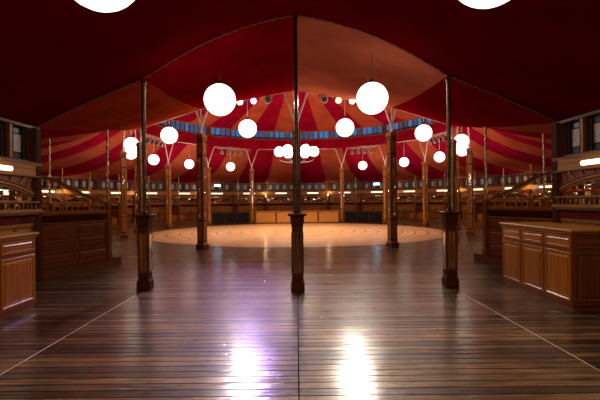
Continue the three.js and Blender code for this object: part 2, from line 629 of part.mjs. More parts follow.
function makeChandelier(rodTop) {
  const { rod, hub, arm, reach, high, armHigh } = CHANDELIER;
  const { count, radius } = CHANDELIER_GLOBES;
  const solids = [
    upright(rod, rod, 8, 0, 0, armHigh, rodTop),
    upright(hub, hub / 2, 8, 0, 0, armHigh - 1.5 * hub, armHigh + hub / 2),
  ];
  for (let i = 0; i < count; i += 1) {
    const bay = (BAYS / count) * (i + 0.5);
    const [x, y] = polar(reach, bay);
    const bar = new THREE.BoxGeometry(reach + arm / 2, arm, arm);
    bar.translate((reach + arm / 2) / 2, 0, FLOOR + armHigh);
    solids.push(solidOf(aim(bar, bay)));
    solids.push(upright(0.4 * arm, 0.4 * arm, 6, reach, bay, armHigh, high - radius + arm));
    solids.push(globe(radius, x, y, high));
  }
  addPiece("chandelier", unite(solids), METAL);
}

function makeFoyerLamp(name, [x, y, high, top], lining) {
  const rod = LAMP_ROD.foyer;
  const foot = high + GLOBE - rod;
  const geometry = new THREE.CylinderGeometry(rod, rod, top - foot, 6);
  geometry.rotateX(Math.PI / 2);
  geometry.translate(x, y, FLOOR + (top + foot) / 2);
  const hung = solidOf(geometry).subtract(lining.translate([0, 0, -TOUCH]));
  addPiece(name, hung.add(globe(GLOBE, x, y, high)), OPAL);
}

makeFloor();
for (let arc = 0; arc < ARCS; arc += 1) makeRoundWall(arc);
makeRoundGlass();
makeFoyerSide(-1, "left");
makeFoyerSide(1, "right");
makeFrontWall();
for (let arc = 0; arc < ARCS; arc += 1) makeBoothRow(arc);
makeBackrest();
for (let quarter = 0; quarter < 4; quarter += 1) makeRingQuarter(quarter);
makeClerestory();
const linings = makeCloths();
makeChandelier(makeCupola());
makeEntryPole(0, "entry_pole_middle", ENTRY_HEIGHTS[0]);
makeEntryPole(1, "entry_pole_right", ENTRY_HEIGHTS[1]);
makeEntryPole(-1, "entry_pole_left", ENTRY_HEIGHTS[1]);
Object.entries(COUNTERS).forEach(([name, place]) => makeCounter(name, place));
makeLowScreen("low_screen_left", BAYS / 2 + 3);
makeLowScreen("low_screen_right", BAYS / 2 - 3);
FOYER_LAMPS.forEach((lamp, i) => makeFoyerLamp(`foyer_lamp_${i + 1}`, lamp, linings[i < 2 ? 0 : 1]));

export default spiegeltent;
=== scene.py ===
# %% [markdown]
# # A spiegeltent in pieces
# A spiegeltent is a travelling dance hall of wood, mirrors and cloth. Its measured solids are
# loaded first and stay as they are. Each piece below is then built round them, in metres, so
# nothing drifts in size.

# %% Load the measured solids
import bmesh
import bpy
from math import atan2, cos, dist, pi, radians, sin, sqrt, tan
from mathutils import Matrix, Vector


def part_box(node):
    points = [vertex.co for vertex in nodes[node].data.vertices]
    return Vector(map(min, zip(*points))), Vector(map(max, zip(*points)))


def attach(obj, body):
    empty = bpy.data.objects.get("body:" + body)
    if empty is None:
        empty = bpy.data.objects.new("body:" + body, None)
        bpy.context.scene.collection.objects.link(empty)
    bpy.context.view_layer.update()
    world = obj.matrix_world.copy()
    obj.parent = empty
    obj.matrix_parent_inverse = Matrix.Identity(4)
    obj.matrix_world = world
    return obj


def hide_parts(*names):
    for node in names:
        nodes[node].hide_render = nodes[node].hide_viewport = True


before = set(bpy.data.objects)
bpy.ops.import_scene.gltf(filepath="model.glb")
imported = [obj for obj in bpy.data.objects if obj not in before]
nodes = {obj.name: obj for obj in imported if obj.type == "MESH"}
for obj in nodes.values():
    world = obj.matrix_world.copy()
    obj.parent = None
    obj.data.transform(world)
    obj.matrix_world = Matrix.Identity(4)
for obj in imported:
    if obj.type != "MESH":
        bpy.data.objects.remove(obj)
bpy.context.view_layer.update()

# %% [markdown]
# The plan is a ring of 32 equal bays, counted round from the foyer, with four of them left
# open towards it. Angles could be typed in for every piece. Small helpers do it better: one
# gives a point at a radius and a bay, another turns a part made on the far side into its bay.

# %% The plan of the tent
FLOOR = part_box("dance_floor")[1].z  # top of the boards above the ground
BAYS = 32
STEP = radians(360 / BAYS)
FIRST_BAY = 2
LAST_BAY = 30
FLAT = cos(STEP / 2)  # a side's distance over its corners'
WALL_IN = 13.2  # inner face of the wall, at its corners
WALL_OUT = 13.32
WALL_FACE = WALL_IN * FLAT
BAY_WIDE = 2 * WALL_FACE * tan(STEP / 2)
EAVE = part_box("round_wall_1")[1].z - FLOOR
FOYER_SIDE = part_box("foyer_wall_right")[1].x - 0.1375  # inner face of the foyer's side wall
FOYER_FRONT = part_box("foyer_wall_right")[0].y
CORNER_REACH = 13.26  # to the middle of the corner posts between hall and foyer
FOYER_END = -CORNER_REACH * cos(2 * STEP)
FOYER_BAYS = 4
RING = 7.83  # to the ring posts
RING_REACH = RING * cos(STEP)
RING_SIDE = 2 * RING * sin(STEP)


def polar(radius, bay, height=0.0):
    """A point at a radius and a bay line, at a height above the boards."""
    return Vector((radius * sin(bay * STEP), -radius * cos(bay * STEP), height))


def at_bay(bay, reach=0.0):
    """Turns a part made on the far side to its bay. Its +Y points outwards."""
    return Matrix.Rotation(bay * STEP - pi, 4, "Z") @ Matrix.Translation((0, reach, 0))


def along_foyer(index, side):
    """The same for a bay of the foyer's side wall: side is 1 on the right, -1 on the left."""
    bay_long = (FOYER_END - FOYER_FRONT) / FOYER_BAYS
    middle = (side * FOYER_SIDE, FOYER_FRONT + (index + 0.5) * bay_long, 0)
    return Matrix.Translation(middle) @ Matrix.Rotation(-side * pi / 2, 4, "Z")


def about(middle, half):
    """The two ends of a span, from its middle."""
    return (middle - half, middle + half)


wall_bays = [bay + 0.5 for bay in range(FIRST_BAY, LAST_BAY)]
print("bay", round(BAY_WIDE, 3), "m wide,", len(wall_bays), "bays round the hall")

# %% [markdown]
# The camera stands in the foyer, on its axis, at eye height, and looks straight down the hall.
# A bay of known width at a known distance gives the lens. The picture leans by half a degree,
# so the camera does too.

# %% The camera
EYE_HEIGHT = 1.5
EYE_Y = -20.2
LENS = 24.7
LEAN = 0.55  # degrees


def show(name, data):
    """Puts an object with this data into the scene."""
    made = bpy.data.objects.new(name, data)
    bpy.context.scene.collection.objects.link(made)
    return made


camera = show("camera", bpy.data.cameras.new("camera"))
bpy.context.scene.camera = camera
camera.location = (0, EYE_Y, FLOOR + EYE_HEIGHT)
camera.rotation_euler = (pi / 2, radians(LEAN), 0)
camera.data.lens = LENS
camera.data.shift_x = 0.005
camera.data.shift_y = 0.001
camera.data.clip_end = 400
bpy.context.scene.view_settings.view_transform = "Standard"
print("camera", tuple(round(v, 2) for v in camera.location))

# %% [markdown]
# Such a tent has thousands of small boards, mouldings and turnings. Adding each as an object
# would be slow, so they are gathered as corners and faces in plain lists. The lists also note
# where each corner lies along and across its own board, so that the grain follows each board.


# %% Gathering corners and faces
class Gathering:
    """Corners, faces, finishes and grain places of one piece."""

    def __init__(self):
        self.points = []
        self.faces = []
        self.finishes = []
        self.smooth = []
        self.grain = []

    def add(self, points, faces, finish=0, smooth=False, run=None):
        """Adds one part. Its grain runs along its longest side, or along axis run."""
        spans = [max(p[i] for p in points) - min(p[i] for p in points) for i in range(3)]
        run = spans.index(max(spans)) if run is None else run
        others = [i for i in range(3) if i != run]
        shift = 0.617 * len(self.faces)
        first = len(self.points)
        for face in faces:
            corners = [points[i] for i in face]
            widths = {i: max(c[i] for c in corners) - min(c[i] for c in corners) for i in others}
            across = max(others, key=widths.get)
            self.grain.append([(c[run] + shift, c[across] + shift) for c in corners])
            self.faces.append([first + i for i in face])
            self.finishes.append(finish)
            self.smooth.append(smooth)
        self.points.extend(tuple(p) for p in points)

    def repeat(self, other, places):
        """Adds copies of another form, each moved by a matrix and with grain of its own."""
        for number, place in enumerate(places):
            first = len(self.points)
            shift = 3.71 * (number + 1)
            self.points.extend(tuple(place @ Vector(p)) for p in other.points)
            self.faces.extend([first + i for i in face] for face in other.faces)
            self.finishes.extend(other.finishes)
            self.smooth.extend(other.smooth)
            self.grain.extend([(u + shift, v + shift) for u, v in face] for face in other.grain)

    def make(self, name, finishes, slot, replaces=(), cloth=False):
        """Turns what was gathered into a Blender piece that rides on the tent."""
        mesh = bpy.data.meshes.new(name)
        mesh.from_pydata([(x, y, z + FLOOR) for x, y, z in self.points], [], self.faces)
        grain = mesh.uv_layers.new(name="grain")
        grain.data.foreach_set("uv", [c for face in self.grain for place in face for c in place])
        mesh.polygons.foreach_set("material_index", self.finishes)
        mesh.polygons.foreach_set("use_smooth", self.smooth)
        for finish in finishes:
            mesh.materials.append(finish)
        if not cloth:
            work = bmesh.new()
            work.from_mesh(mesh)
            bmesh.ops.recalc_face_normals(work, faces=work.faces)
            work.to_mesh(mesh)
            work.free()
        piece = show(name, mesh)
        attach(piece, "root")
        if replaces:
            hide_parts(*replaces)
        print(name, len(mesh.polygons), "faces")
        return piece


print("faces gathered so far", len(Gathering().faces))

# %% [markdown]
# Boards come in four kinds here: a squared board with eased edges, a framed or raised panel,
# an outline sawn from a board, and a rib that follows a curve. Blender's bevel modifier could
# ease the edges, but an eased board has the same 26 faces each time, so they are listed at once.


# %% Boards, panels and ribs
class Joinery(Gathering):
    """A gathering that takes boards."""

    def block(self, x, y, z, finish=0, ease=0.0, run=None):
        """A squared board between two places on each axis, with its edges eased."""
        spans = (x, y, z)
        points = []
        keys = {}
        for corner in range(8):
            ends = [corner >> axis & 1 for axis in range(3)]
            for face_axis in range(3) if ease else [0]:
                point = []
                for axis in range(3):
                    inset = ease if axis != face_axis else 0
                    point.append(spans[axis][ends[axis]] + (inset if ends[axis] == 0 else -inset))
                keys[(*ends, face_axis)] = len(points)
                points.append(point)
        faces = []
        for axis in range(3):
            b, c = [i for i in range(3) if i != axis]
            for end in (0, 1):
                loop = []
                for eb, ec in ((0, 0), (1, 0), (1, 1), (0, 1)):
                    ends = [0, 0, 0]
                    ends[axis], ends[b], ends[c] = end, eb, ec
                    loop.append(keys[(*ends, axis if ease else 0)])
                faces.append(loop)
            for eb, ec in ((0, 0), (1, 0), (1, 1), (0, 1)) if ease else ():
                low, high = [0, 0, 0], [0, 0, 0]
                low[b], low[c] = eb, ec
                high[axis], high[b], high[c] = 1, eb, ec
                faces.append([keys[(*low, b)], keys[(*high, b)], keys[(*high, c)], keys[(*low, c)]])
        if ease:
            for corner in range(8):
                ends = [corner >> axis & 1 for axis in range(3)]
                faces.append([keys[(*ends, axis)] for axis in range(3)])
        self.add(points, faces, finish, run=run)

    def square(self, half, z, finish, ease):
        """A squared block about the upright axis."""
        self.block((-half, half), (-half, half), z, finish, ease)

    def panel(self, start, end, z, steps, finish=0, run=None):
        """Framing that stands on a line in plan and faces its right-hand side. Each step is
        an inset from the panel's edge and a height above its ground."""
        start, end = Vector(start), Vector(end)
        way = (end - start).normalized()
        out = Vector((way.y, -way.x))
        long = (end - start).length
        points = []
        for inset, rise in steps:
            for s, h in ((inset, inset), (long - inset, inset), (long - inset, -inset), (inset, -inset)):
                foot = start + way * s + out * rise
                points.append((foot.x, foot.y, (z[0] if h > 0 else z[1]) + h))
        if steps[0][0] == 0:
            for i, s in enumerate((0, long, long, 0)):
                foot = start + way * s + out * steps[0][1]
                points[i] = (foot.x, foot.y, z[0] if i < 2 else z[1])
        faces = [[3, 2, 1, 0]]
        for loop in range(len(steps) - 1):
            for i in range(4):
                j = (i + 1) % 4
                faces.append([4 * loop + i, 4 * loop + j, 4 * loop + 4 + j, 4 * loop + 4 + i])
        last = 4 * (len(steps) - 1)
        faces.append([last, last + 1, last + 2, last + 3])
        self.add(points, faces, finish, run=run)

    def plate(self, outline, span, finish=0, upright=True, run=None):
        """An outline cut from a board: (x, z) points between two y, or (x, y) between two z."""
        n = len(outline)
        place = (lambda a, b, c: (a, c, b)) if upright else (lambda a, b, c: (a, b, c))
        points = [place(a, b, c) for c in span for a, b in outline]
        faces = [list(range(n)), list(range(2 * n - 1, n - 1, -1))]
        faces += [[i, (i + 1) % n, n + (i + 1) % n, n + i] for i in range(n)]
        self.add(points, faces, finish, run=run)

    def rib(self, line, wide, span, finish=0):
        """A moulding of even width that follows (x, z) points, between two y."""
        outline = []
        for side in (1, -1):
            edge = []
            for i, (x, z) in enumerate(line):
                before = Vector(line[max(i - 1, 0)])
                after = Vector(line[min(i + 1, len(line) - 1)])
                way = (after - before).normalized()
                edge.append((x - side * way.y * wide / 2, z + side * way.x * wide / 2))
            outline.append(edge)
        near, far = span
        n = len(line)
        points = [(x, y, z) for y in (near, far) for edge in outline for x, z in edge]
        faces = []
        for i in range(n - 1):
            faces.append([i, i + 1, n + i + 1, n + i])
            faces.append([2 * n + i, 3 * n + i, 3 * n + i + 1, 2 * n + i + 1])
            faces.append([i, 2 * n + i, 2 * n + i + 1, i + 1])
            faces.append([n + i, n + i + 1, 3 * n + i + 1, 3 * n + i])
        faces.append([0, n, 3 * n, 2 * n])
        faces.append([n - 1, 3 * n - 1, 4 * n - 1, 2 * n - 1])
        self.add(points, faces, finish)


eased = Joinery()
eased.block((0, 1), (0, 1), (0, 1), ease=0.1)
print("an eased board", len(eased.faces), "faces")

# %% [markdown]
# Posts, ropes, tubes and globes are round. All of them are rings of points, with faces between
# one ring and the next. A screw modifier or a bevelled curve would do for some, and skinned
# rings do for all.


# %% Turnings, ropes and globes
def round_point(centre, radius, angle, height):
    """A corner on a circle about an upright axis."""
    return (centre[0] + radius * cos(angle), centre[1] + radius * sin(angle), height)


class Form(Joinery):
    """Joinery that takes round parts too."""

    def skin(self, points, rings, sides, finish, smooth):
        """Faces between rings of points, closed at both ends."""
        faces = [list(range(sides - 1, -1, -1)), [(rings - 1) * sides + i for i in range(sides)]]
        for ring in range(rings - 1):
            for i in range(sides):
                j = (i + 1) % sides
                a, b = ring * sides, (ring + 1) * sides
                faces.append([a + i, a + j, b + j, b + i])
        self.add(points, faces, finish, smooth)

    def turned(self, profile, sides, centre=(0, 0), finish=0, smooth=True, turn=0.0):
        """A turning about an upright axis: (radius, height) points from foot to top."""
        points = []
        for radius, height in profile:
            for i in range(sides):
                angle = 2 * pi * (i + turn) / sides
                points.append(round_point(centre, radius, angle, height))
        self.skin(points, len(profile), sides, finish, smooth)

    def twisted(self, centre, z, radius, pitch, finish=0, sides=8, lobes=2, depth=0.22):
        """A barley-twist pole: a lobed section that turns as it rises."""
        rings = max(2, round((z[1] - z[0]) / pitch * 8))
        points = []
        for ring in range(rings + 1):
            height = z[0] + (z[1] - z[0]) * ring / rings
            twist = 2 * pi * (height - z[0]) / pitch / lobes
            for i in range(sides):
                angle = 2 * pi * i / sides
                r = radius * (1 + depth * cos(lobes * (angle - twist)))
                points.append(round_point(centre, r, angle, height))
        self.skin(points, rings + 1, sides, finish, True)

    def sweep(self, path, radius, sides=8, finish=0):
        """A tube or rope along a path of points."""
        path = [Vector(p) for p in path]
        ways = []
        for i in range(len(path)):
            ways.append((path[min(i + 1, len(path) - 1)] - path[max(i - 1, 0)]).normalized())
        up = Vector((0, 0, 1)) if abs(ways[0].z) < 0.9 else Vector((0, 1, 0))
        side = ways[0].cross(up).normalized()
        points = []
        for point, way in zip(path, ways):
            side = (side - way * side.dot(way)).normalized()
            other = way.cross(side)
            for i in range(sides):
                angle = 2 * pi * i / sides
                points.append(point + radius * (cos(angle) * side + sin(angle) * other))
        self.skin(points, len(path), sides, finish, True)

    def ball(self, centre, radius, finish=0, sides=24, rings=14):
        """A round globe."""
        profile = []
        for ring in range(rings + 1):
            angle = pi * ring / rings
            profile.append((max(radius * sin(angle), 0.004), centre[2] - radius * cos(angle)))
        self.turned(profile, sides, centre[:2], finish)


print("a form can", [word for word in dir(Form) if not word.startswith("_")])

# %% [markdown]
# Old varnished wood is never one colour. Fine streaks run along the grain, broad bands vary
# from board to board, and the varnish shines unevenly. Painted image textures would do, but
# noise that is stretched along the grain is sharp at any distance and fits any board.


# %% Wood finishes
def fill_in(node, **inputs):
    """Sets some of a node's inputs by name, with _ for a space."""
    for name, value in inputs.items():
        node.inputs[name.replace("_", " ")].default_value = value


def add_node(tree, kind, **inputs):
    """A new shader node with some of its inputs set."""
    made = tree.nodes.new("ShaderNode" + kind)
    fill_in(made, **inputs)
    return made


def wire(output, target):
    """Links a node's output to another node's input."""
    target.id_data.links.new(output, target)


def noise(tree, place, **inputs):
    """A noise texture's value at the given coordinates."""
    made = add_node(tree, "TexNoise", **inputs)
    wire(place, made.inputs["Vector"])
    return made.outputs["Fac"]


def object_place(tree):
    """Coordinates in metres, which do not stretch with a piece."""
    return add_node(tree, "TexCoord").outputs["Object"]


def bumped(tree, height, strength, distance):
    """A bump node that reads a height."""
    bump = add_node(tree, "Bump", Strength=strength, Distance=distance)
    wire(height, bump.inputs["Height"])
    return bump


def plain(name, colour, rough, metal=0.0):
    """A Principled finish, with its node tree and shader for more detail."""
    material = bpy.data.materials.new(name)
    material.use_nodes = True
    shader = material.node_tree.nodes["Principled BSDF"]
    fill_in(shader, Base_Color=(*colour, 1), Roughness=rough, Metallic=metal)
    return material, material.node_tree, shader


def blended(tree, low, high, factor):
    """Mixes two colours by a factor, and gives the result."""
    mix = add_node(tree, "Mix")
    mix.data_type = "RGBA"
    for number, value in ((6, low), (7, high)):
        if isinstance(value, tuple):
            mix.inputs[number].default_value = (*value, 1)
        else:
            wire(value, mix.inputs[number])
    wire(factor, mix.inputs[0])
    return mix.outputs[2]


def spread(tree, value, low, high):
    """Stretches a noise value to a useful range."""
    span = add_node(tree, "MapRange", From_Min=0.3, From_Max=0.7, To_Min=low, To_Max=high)
    wire(value, span.inputs["Value"])
    return span.outputs["Result"]


def grain_place(tree, streaks, solid):
    """Coordinates drawn out along the grain. A solid of the frame has no grain layer, so its
    grain runs upwards."""
    scale = add_node(tree, "Mapping", Scale=(streaks, streaks, 1.6) if solid else (2.2, streaks, 1))
    if solid:
        source = object_place(tree)
    else:
        layer = add_node(tree, "UVMap")
        layer.uv_map = "grain"
        source = layer.outputs["UV"]
    wire(source, scale.inputs["Vector"])
    return scale.outputs["Vector"]


def wear(tree, shader, streak, colour, bare, rough, coat):
    """Foot wear: scuffed dark patches, and grain whose deep parts have lost their varnish."""
    tread = noise(tree, object_place(tree), Scale=1.7, Detail=7.0, Roughness=0.7)
    scuffed = blended(tree, bare, colour, spread(tree, tread, 0.35, 1.0))
    wire(scuffed, shader.inputs["Base Color"])
    wire(spread(tree, streak, 0.0, 2.0 * coat), shader.inputs["Coat Weight"])
    wire(spread(tree, streak, 2.1 * rough, 0.75 * rough), shader.inputs["Roughness"])


def wood(name, dark, light, rough, coat=0.0, solid=False, streaks=75.0, fade=0.35, relief=0.12,
         even=0.25, shine=0.3, worn=False):
    """Varnished wood. fade darkens some boards, and relief is the grain's depth in millimetres."""
    material, tree, shader = plain(name, light, rough)
    along = grain_place(tree, streaks, solid)
    streak = noise(tree, along, Scale=1.0, Detail=6.0, Roughness=0.62, Distortion=0.35)
    broad = noise(tree, along, Scale=0.11, Detail=2.0, Distortion=0.5)
    middle = tuple(0.5 * (a + b) for a, b in zip(dark, light))
    band = blended(tree, middle, light, spread(tree, broad, 0.0, 1.0))
    grained = blended(tree, dark, band, spread(tree, streak, even, 1.0))
    board = add_node(tree, "MapRange", To_Min=0.0, To_Max=fade)
    wire(add_node(tree, "NewGeometry").outputs["Random Per Island"], board.inputs["Value"])
    deep = tuple(0.6 * c for c in dark)
    colour = blended(tree, grained, deep, board.outputs["Result"])
    wire(colour, shader.inputs["Base Color"])
    wire(spread(tree, streak, rough * 0.8, rough * 1.3), shader.inputs["Roughness"])
    bump = bumped(tree, streak, 1.0, 0.001 * relief)
    wire(bump.outputs["Normal"], shader.inputs["Normal"])
    wire(bump.outputs["Normal"], shader.inputs["Coat Normal"])
    fill_in(shader, Coat_Weight=coat, Coat_Roughness=0.12, Specular_IOR_Level=shine)
    if worn:
        wear(tree, shader, streak, colour, tuple(0.35 * c for c in dark), rough, coat)
    return material


honey = wood("honey_wood", (0.30, 0.097, 0.016), (0.51, 0.205, 0.044), 0.34, coat=0.1, shine=0.2)
brown = wood("brown_wood", (0.10, 0.028, 0.009), (0.21, 0.066, 0.018), 0.32, coat=0.1, shine=0.2)
dark = wood("dark_wood", (0.04, 0.010, 0.002), (0.11, 0.028, 0.006), 0.5, shine=0.04)
pale = wood("pale_wood", (0.41, 0.15, 0.025), (0.63, 0.28, 0.062), 0.4, shine=0.2)
red_brown = wood("red_brown_wood", (0.12, 0.024, 0.006), (0.26, 0.064, 0.014), 0.28, coat=0.2,
                 shine=0.25)
counter_wood = wood("counter_wood", (0.22, 0.050, 0.001), (0.50, 0.16, 0.005), 0.28, coat=0.2)
floor_wood = wood("floor_wood", (0.018, 0.008, 0.003), (0.68, 0.37, 0.17), 0.27, coat=0.85,
                  streaks=26.0, fade=0.9, relief=3.0, even=0.0, worn=True)
dance_wood = wood("dance_wood", (0.44, 0.19, 0.075), (0.72, 0.40, 0.20), 0.3, coat=0.2,
                  streaks=60.0, fade=0.5, shine=0.5)
solid_brown = wood("wall_wood", (0.10, 0.03, 0.01), (0.20, 0.066, 0.02), 0.36, solid=True)
solid_dark = wood("raft_wood", (0.02, 0.009, 0.006), (0.05, 0.022, 0.014), 0.4, solid=True)
print("finishes so far", len(bpy.data.materials))

# %% [markdown]
# The other finishes are few: old mirror, dull leaded glass, opal lamps that glow, bronze paint,
# brass, rope and red paint. Each varies slowly, because what is often taken down and put up is
# never even. The small blue windows are all in one mesh, and Blender's number for each loose
# part picks the tint of each.


# %% Glass, lamps, metal and paint
def mottled(name, low, high, rough, metal=0.0, size=6.0, bump=0.0):
    """A finish that varies slowly between two colours."""
    material, tree, shader = plain(name, high, rough, metal)
    cloud = noise(tree, object_place(tree), Scale=size, Detail=5.0)
    wire(blended(tree, low, high, spread(tree, cloud, 0.0, 1.0)), shader.inputs["Base Color"])
    wire(spread(tree, cloud, rough * 0.7, rough * 1.4), shader.inputs["Roughness"])
    if bump:
        wire(bumped(tree, cloud, bump, 0.01).outputs["Normal"], shader.inputs["Normal"])
    return material


def glowing(name, colour, strength):
    """Opal glass with a lamp behind it."""
    material, tree, shader = plain(name, (0.9, 0.88, 0.82), 0.2)
    fill_in(shader, Emission_Color=(*colour, 1), Emission_Strength=strength)
    return material


def pane(name, colour, through):
    """Window glass that lets some light through."""
    material = mottled(name, tuple(0.7 * c for c in colour), colour, 0.12, size=3.0)
    shader = material.node_tree.nodes["Principled BSDF"]
    fill_in(shader, Transmission_Weight=through, IOR=1.2)
    return material


mirror = mottled("old_mirror", (0.36, 0.33, 0.27), (0.56, 0.53, 0.46), 0.03, metal=1.0, size=9.0)
post_mirror = mottled("post_mirror", (0.66, 0.58, 0.46), (0.95, 0.90, 0.80), 0.06, metal=1.0, size=30.0)
leaded = pane("leaded_glass", (0.20, 0.21, 0.27), 0.25)
frosted = mottled("frosted_glass", (0.36, 0.32, 0.33), (0.62, 0.55, 0.54), 0.35, size=14.0, bump=0.5)
blue_glass = pane("blue_glass", (0.05, 0.16, 0.42), 0.2)
blue_light, tree, shader = plain("blue_light", (0.03, 0.10, 0.28), 0.25)
sky_tint = add_node(tree, "ValToRGB")
stops = sky_tint.color_ramp.elements
for place, colour in ((0.0, (0.10, 0.07, 0.10)), (0.35, (0.03, 0.12, 0.32)), (0.75, (0.05, 0.24, 0.60))):
    stops.new(place).color = (*colour, 1)
stops.remove(stops[-1])
wire(add_node(tree, "NewGeometry").outputs["Random Per Island"], sky_tint.inputs["Fac"])
for socket in ("Base Color", "Emission Color"):
    wire(sky_tint.outputs["Color"], shader.inputs[socket])
fill_in(shader, Emission_Strength=0.42)
opal = glowing("opal_globe", (1.0, 0.92, 0.78), 2.4)
tube_light = glowing("tube_light", (1.0, 0.9, 0.52), 1.9)
exit_light = glowing("exit_light", (0.3, 0.7, 1.0), 9.0)
bronze = mottled("bronze_paint", (0.03, 0.02, 0.012), (0.08, 0.055, 0.035), 0.36, metal=0.4)
steel = mottled("pale_steel", (0.74, 0.62, 0.56), (0.90, 0.80, 0.74), 0.3)
pole_bronze = mottled("pole_bronze", (0.09, 0.055, 0.03), (0.27, 0.18, 0.10), 0.2, metal=0.85, size=14.0)
brass = mottled("worn_brass", (0.62, 0.43, 0.19), (0.92, 0.70, 0.38), 0.17, metal=0.95)
black = mottled("black_paint", (0.004, 0.004, 0.004), (0.014, 0.013, 0.013), 0.5)
fill_in(black.node_tree.nodes["Principled BSDF"], Specular_IOR_Level=0.1)
red_paint = mottled("red_paint", (0.14, 0.012, 0.012), (0.26, 0.02, 0.018), 0.45)
rope = mottled("cream_rope", (0.42, 0.33, 0.22), (0.62, 0.52, 0.38), 0.8, size=40.0, bump=0.4)
dark_rope = mottled("dark_rope", (0.20, 0.06, 0.05), (0.34, 0.13, 0.11), 0.8, size=40.0, bump=0.4)
# Near-black without shine for the gaps between boards: partly dirt, partly painted shade for their
# depth.
groove_dirt_and_shade, tree, shader = plain("dark_groove", (0.005, 0.003, 0.002), 1.0)
fill_in(shader, Specular_IOR_Level=0.0)
print("finishes so far", len(bpy.data.materials))

# %% [markdown]
# Cloth hangs everywhere overhead. Its colour shifts with dye and dust, it has a fine weave,
# and its fibres catch light at a slant. A rough shader gives that, with some sheen on the velvets,
# a tight bump for the weave and a slow one for creases.


# %% Cloth finishes
def cloth(name, low, high, sheen=0.0, weave=420.0):
    """Hung cotton or canvas, with a woven bump and slow creases."""
    material = mottled(name, low, high, 0.9, size=1.3)
    tree = material.node_tree
    shader = tree.nodes["Principled BSDF"]
    place = object_place(tree)
    threads = add_node(tree, "TexVoronoi", Scale=weave)
    wire(place, threads.inputs["Vector"])
    fine = bumped(tree, threads.outputs["Distance"], 0.25, 0.0006)
    slow = bumped(tree, noise(tree, place, Scale=5.0, Detail=4.0), 0.25, 0.02)
    wire(fine.outputs["Normal"], slow.inputs["Normal"])
    wire(slow.outputs["Normal"], shader.inputs["Normal"])
    fill_in(shader, Specular_IOR_Level=0.0, Sheen_Weight=sheen, Sheen_Roughness=0.5)
    return material


crimson = cloth("crimson_cloth", (0.25, 0.003, 0.022), (0.36, 0.006, 0.036))
ochre = cloth("ochre_cloth", (0.38, 0.068, 0.032), (0.50, 0.105, 0.052))
# A lighter copy of the ochre: painted light for the right orange panel of the entrance.
lit_ochre = cloth("light_ochre_cloth", (0.46, 0.095, 0.048), (0.59, 0.145, 0.078))
# A darker copy of the ochre: painted shade for the left orange panel of the entrance.
shaded_ochre = cloth("deep_ochre_cloth", (0.29, 0.028, 0.006), (0.38, 0.045, 0.012))
maroon = cloth("maroon_cloth", (0.19, 0.0005, 0.004), (0.27, 0.001, 0.007))
# A darker copy of the maroon cloth: painted shade for the foyer's canopy.
shaded_foyer_red = cloth("foyer_red_cloth", (0.125, 0.0003, 0.0022), (0.185, 0.0006, 0.004))
canvas = cloth("roof_canvas", (0.30, 0.03, 0.022), (0.40, 0.05, 0.036))
velvet = cloth("red_velvet", (0.10, 0.003, 0.006), (0.19, 0.005, 0.011), sheen=0.12, weave=700.0)
# A darker copy of the red velvet: painted shade for the partition strips, which stand in shade.
shaded_velvet = cloth("shaded_velvet", (0.035, 0.002, 0.003), (0.075, 0.004, 0.006), sheen=0.08, weave=700.0)
print("finishes in all", len(bpy.data.materials))

# %% [markdown]
# The floor is narrow worn boards laid across the axis, in panels 2.6 m wide, so the panel
# joints show as long straight lines, two of them under pale metal strips. A brick pattern
# could fake it. Real boards catch the lamps better, so each row is cut to the plan and broken
# at every panel joint. Dull dark filling lies just below the boards: partly the dirt of years,
# partly painted shade for the depth of the gaps.

# %% Floor boards
BOARD_WIDE = 0.118
BOARD_GAP = 0.013
BOARD_THICK = 0.006
FILLING_THICK = BOARD_THICK - 0.0005
BOARD, STRIP, FILLING = range(3)
PANEL_LONG = 2.6
PLATFORM_IN = 11.1
DANCE_RADIUS = 7.0


def floor_reach(y):
    """How far the open floor runs to each side at a place along the axis."""
    if y < -PLATFORM_IN * cos(2 * STEP):
        return FOYER_SIDE - 0.002
    return sqrt(max((PLATFORM_IN + 0.02) ** 2 - y * y, 0.0)) * 0.998


boards = Form()
rows = int((PLATFORM_IN - FOYER_FRONT - 0.15) / BOARD_WIDE)
for row in range(rows):
    y0 = FOYER_FRONT + row * BOARD_WIDE
    y1 = y0 + BOARD_WIDE - BOARD_GAP
    reach = min(floor_reach(y0), floor_reach(y1))
    nearest = 0.0 if y0 * y1 < 0 else min(abs(y0), abs(y1))
    hole = sqrt(max((DANCE_RADIUS + 0.01) ** 2 - nearest ** 2, 0.0))
    joints = [PANEL_LONG * k for k in range(-5, 6)]
    cuts = sorted({-reach, reach, *[j for j in joints if abs(j) < reach - 0.1]})
    if hole:
        cuts = sorted({c for c in cuts if abs(c) > hole + 0.1} | {-hole, hole})
    for left, right in zip(cuts, cuts[1:]):
        if hole and left > -hole - 0.001 and right < hole + 0.001:
            continue
        boards.block((left + 0.003, right - 0.003), (y0, y1), (0.0, BOARD_THICK), BOARD, run=0)
        # The dark strip in each gap is partly dirt, partly painted shade.
        boards.block((left, right), (y1, y1 + BOARD_GAP), (0.0, FILLING_THICK), FILLING, run=0)
strip_start = FOYER_FRONT + 0.02
strip_end = -13.6  # beside the entry poles
for x in (-PANEL_LONG, PANEL_LONG):
    boards.block(about(x, 0.004), (strip_start, strip_end), (0.0, BOARD_THICK + 0.001), STRIP)
middle_joint = (strip_start, -DANCE_RADIUS - 0.2)
# The middle joint is a dark strip too: partly dirt, partly painted shade.
boards.block((-0.005, 0.005), middle_joint, (0.0, BOARD_THICK + 0.0005), FILLING)
boards.make("floor_boards", [floor_wood, steel, groove_dirt_and_shade], "floor_boards")

# %% [markdown]
# The dance floor in the middle is lighter and its boards run round it in rings. Each ring is
# cut into short curved boards, and every second ring is shifted, as a floor layer would do it.
# A thin dark inlay closes every fourth ring. A spiral would be one board without an end.

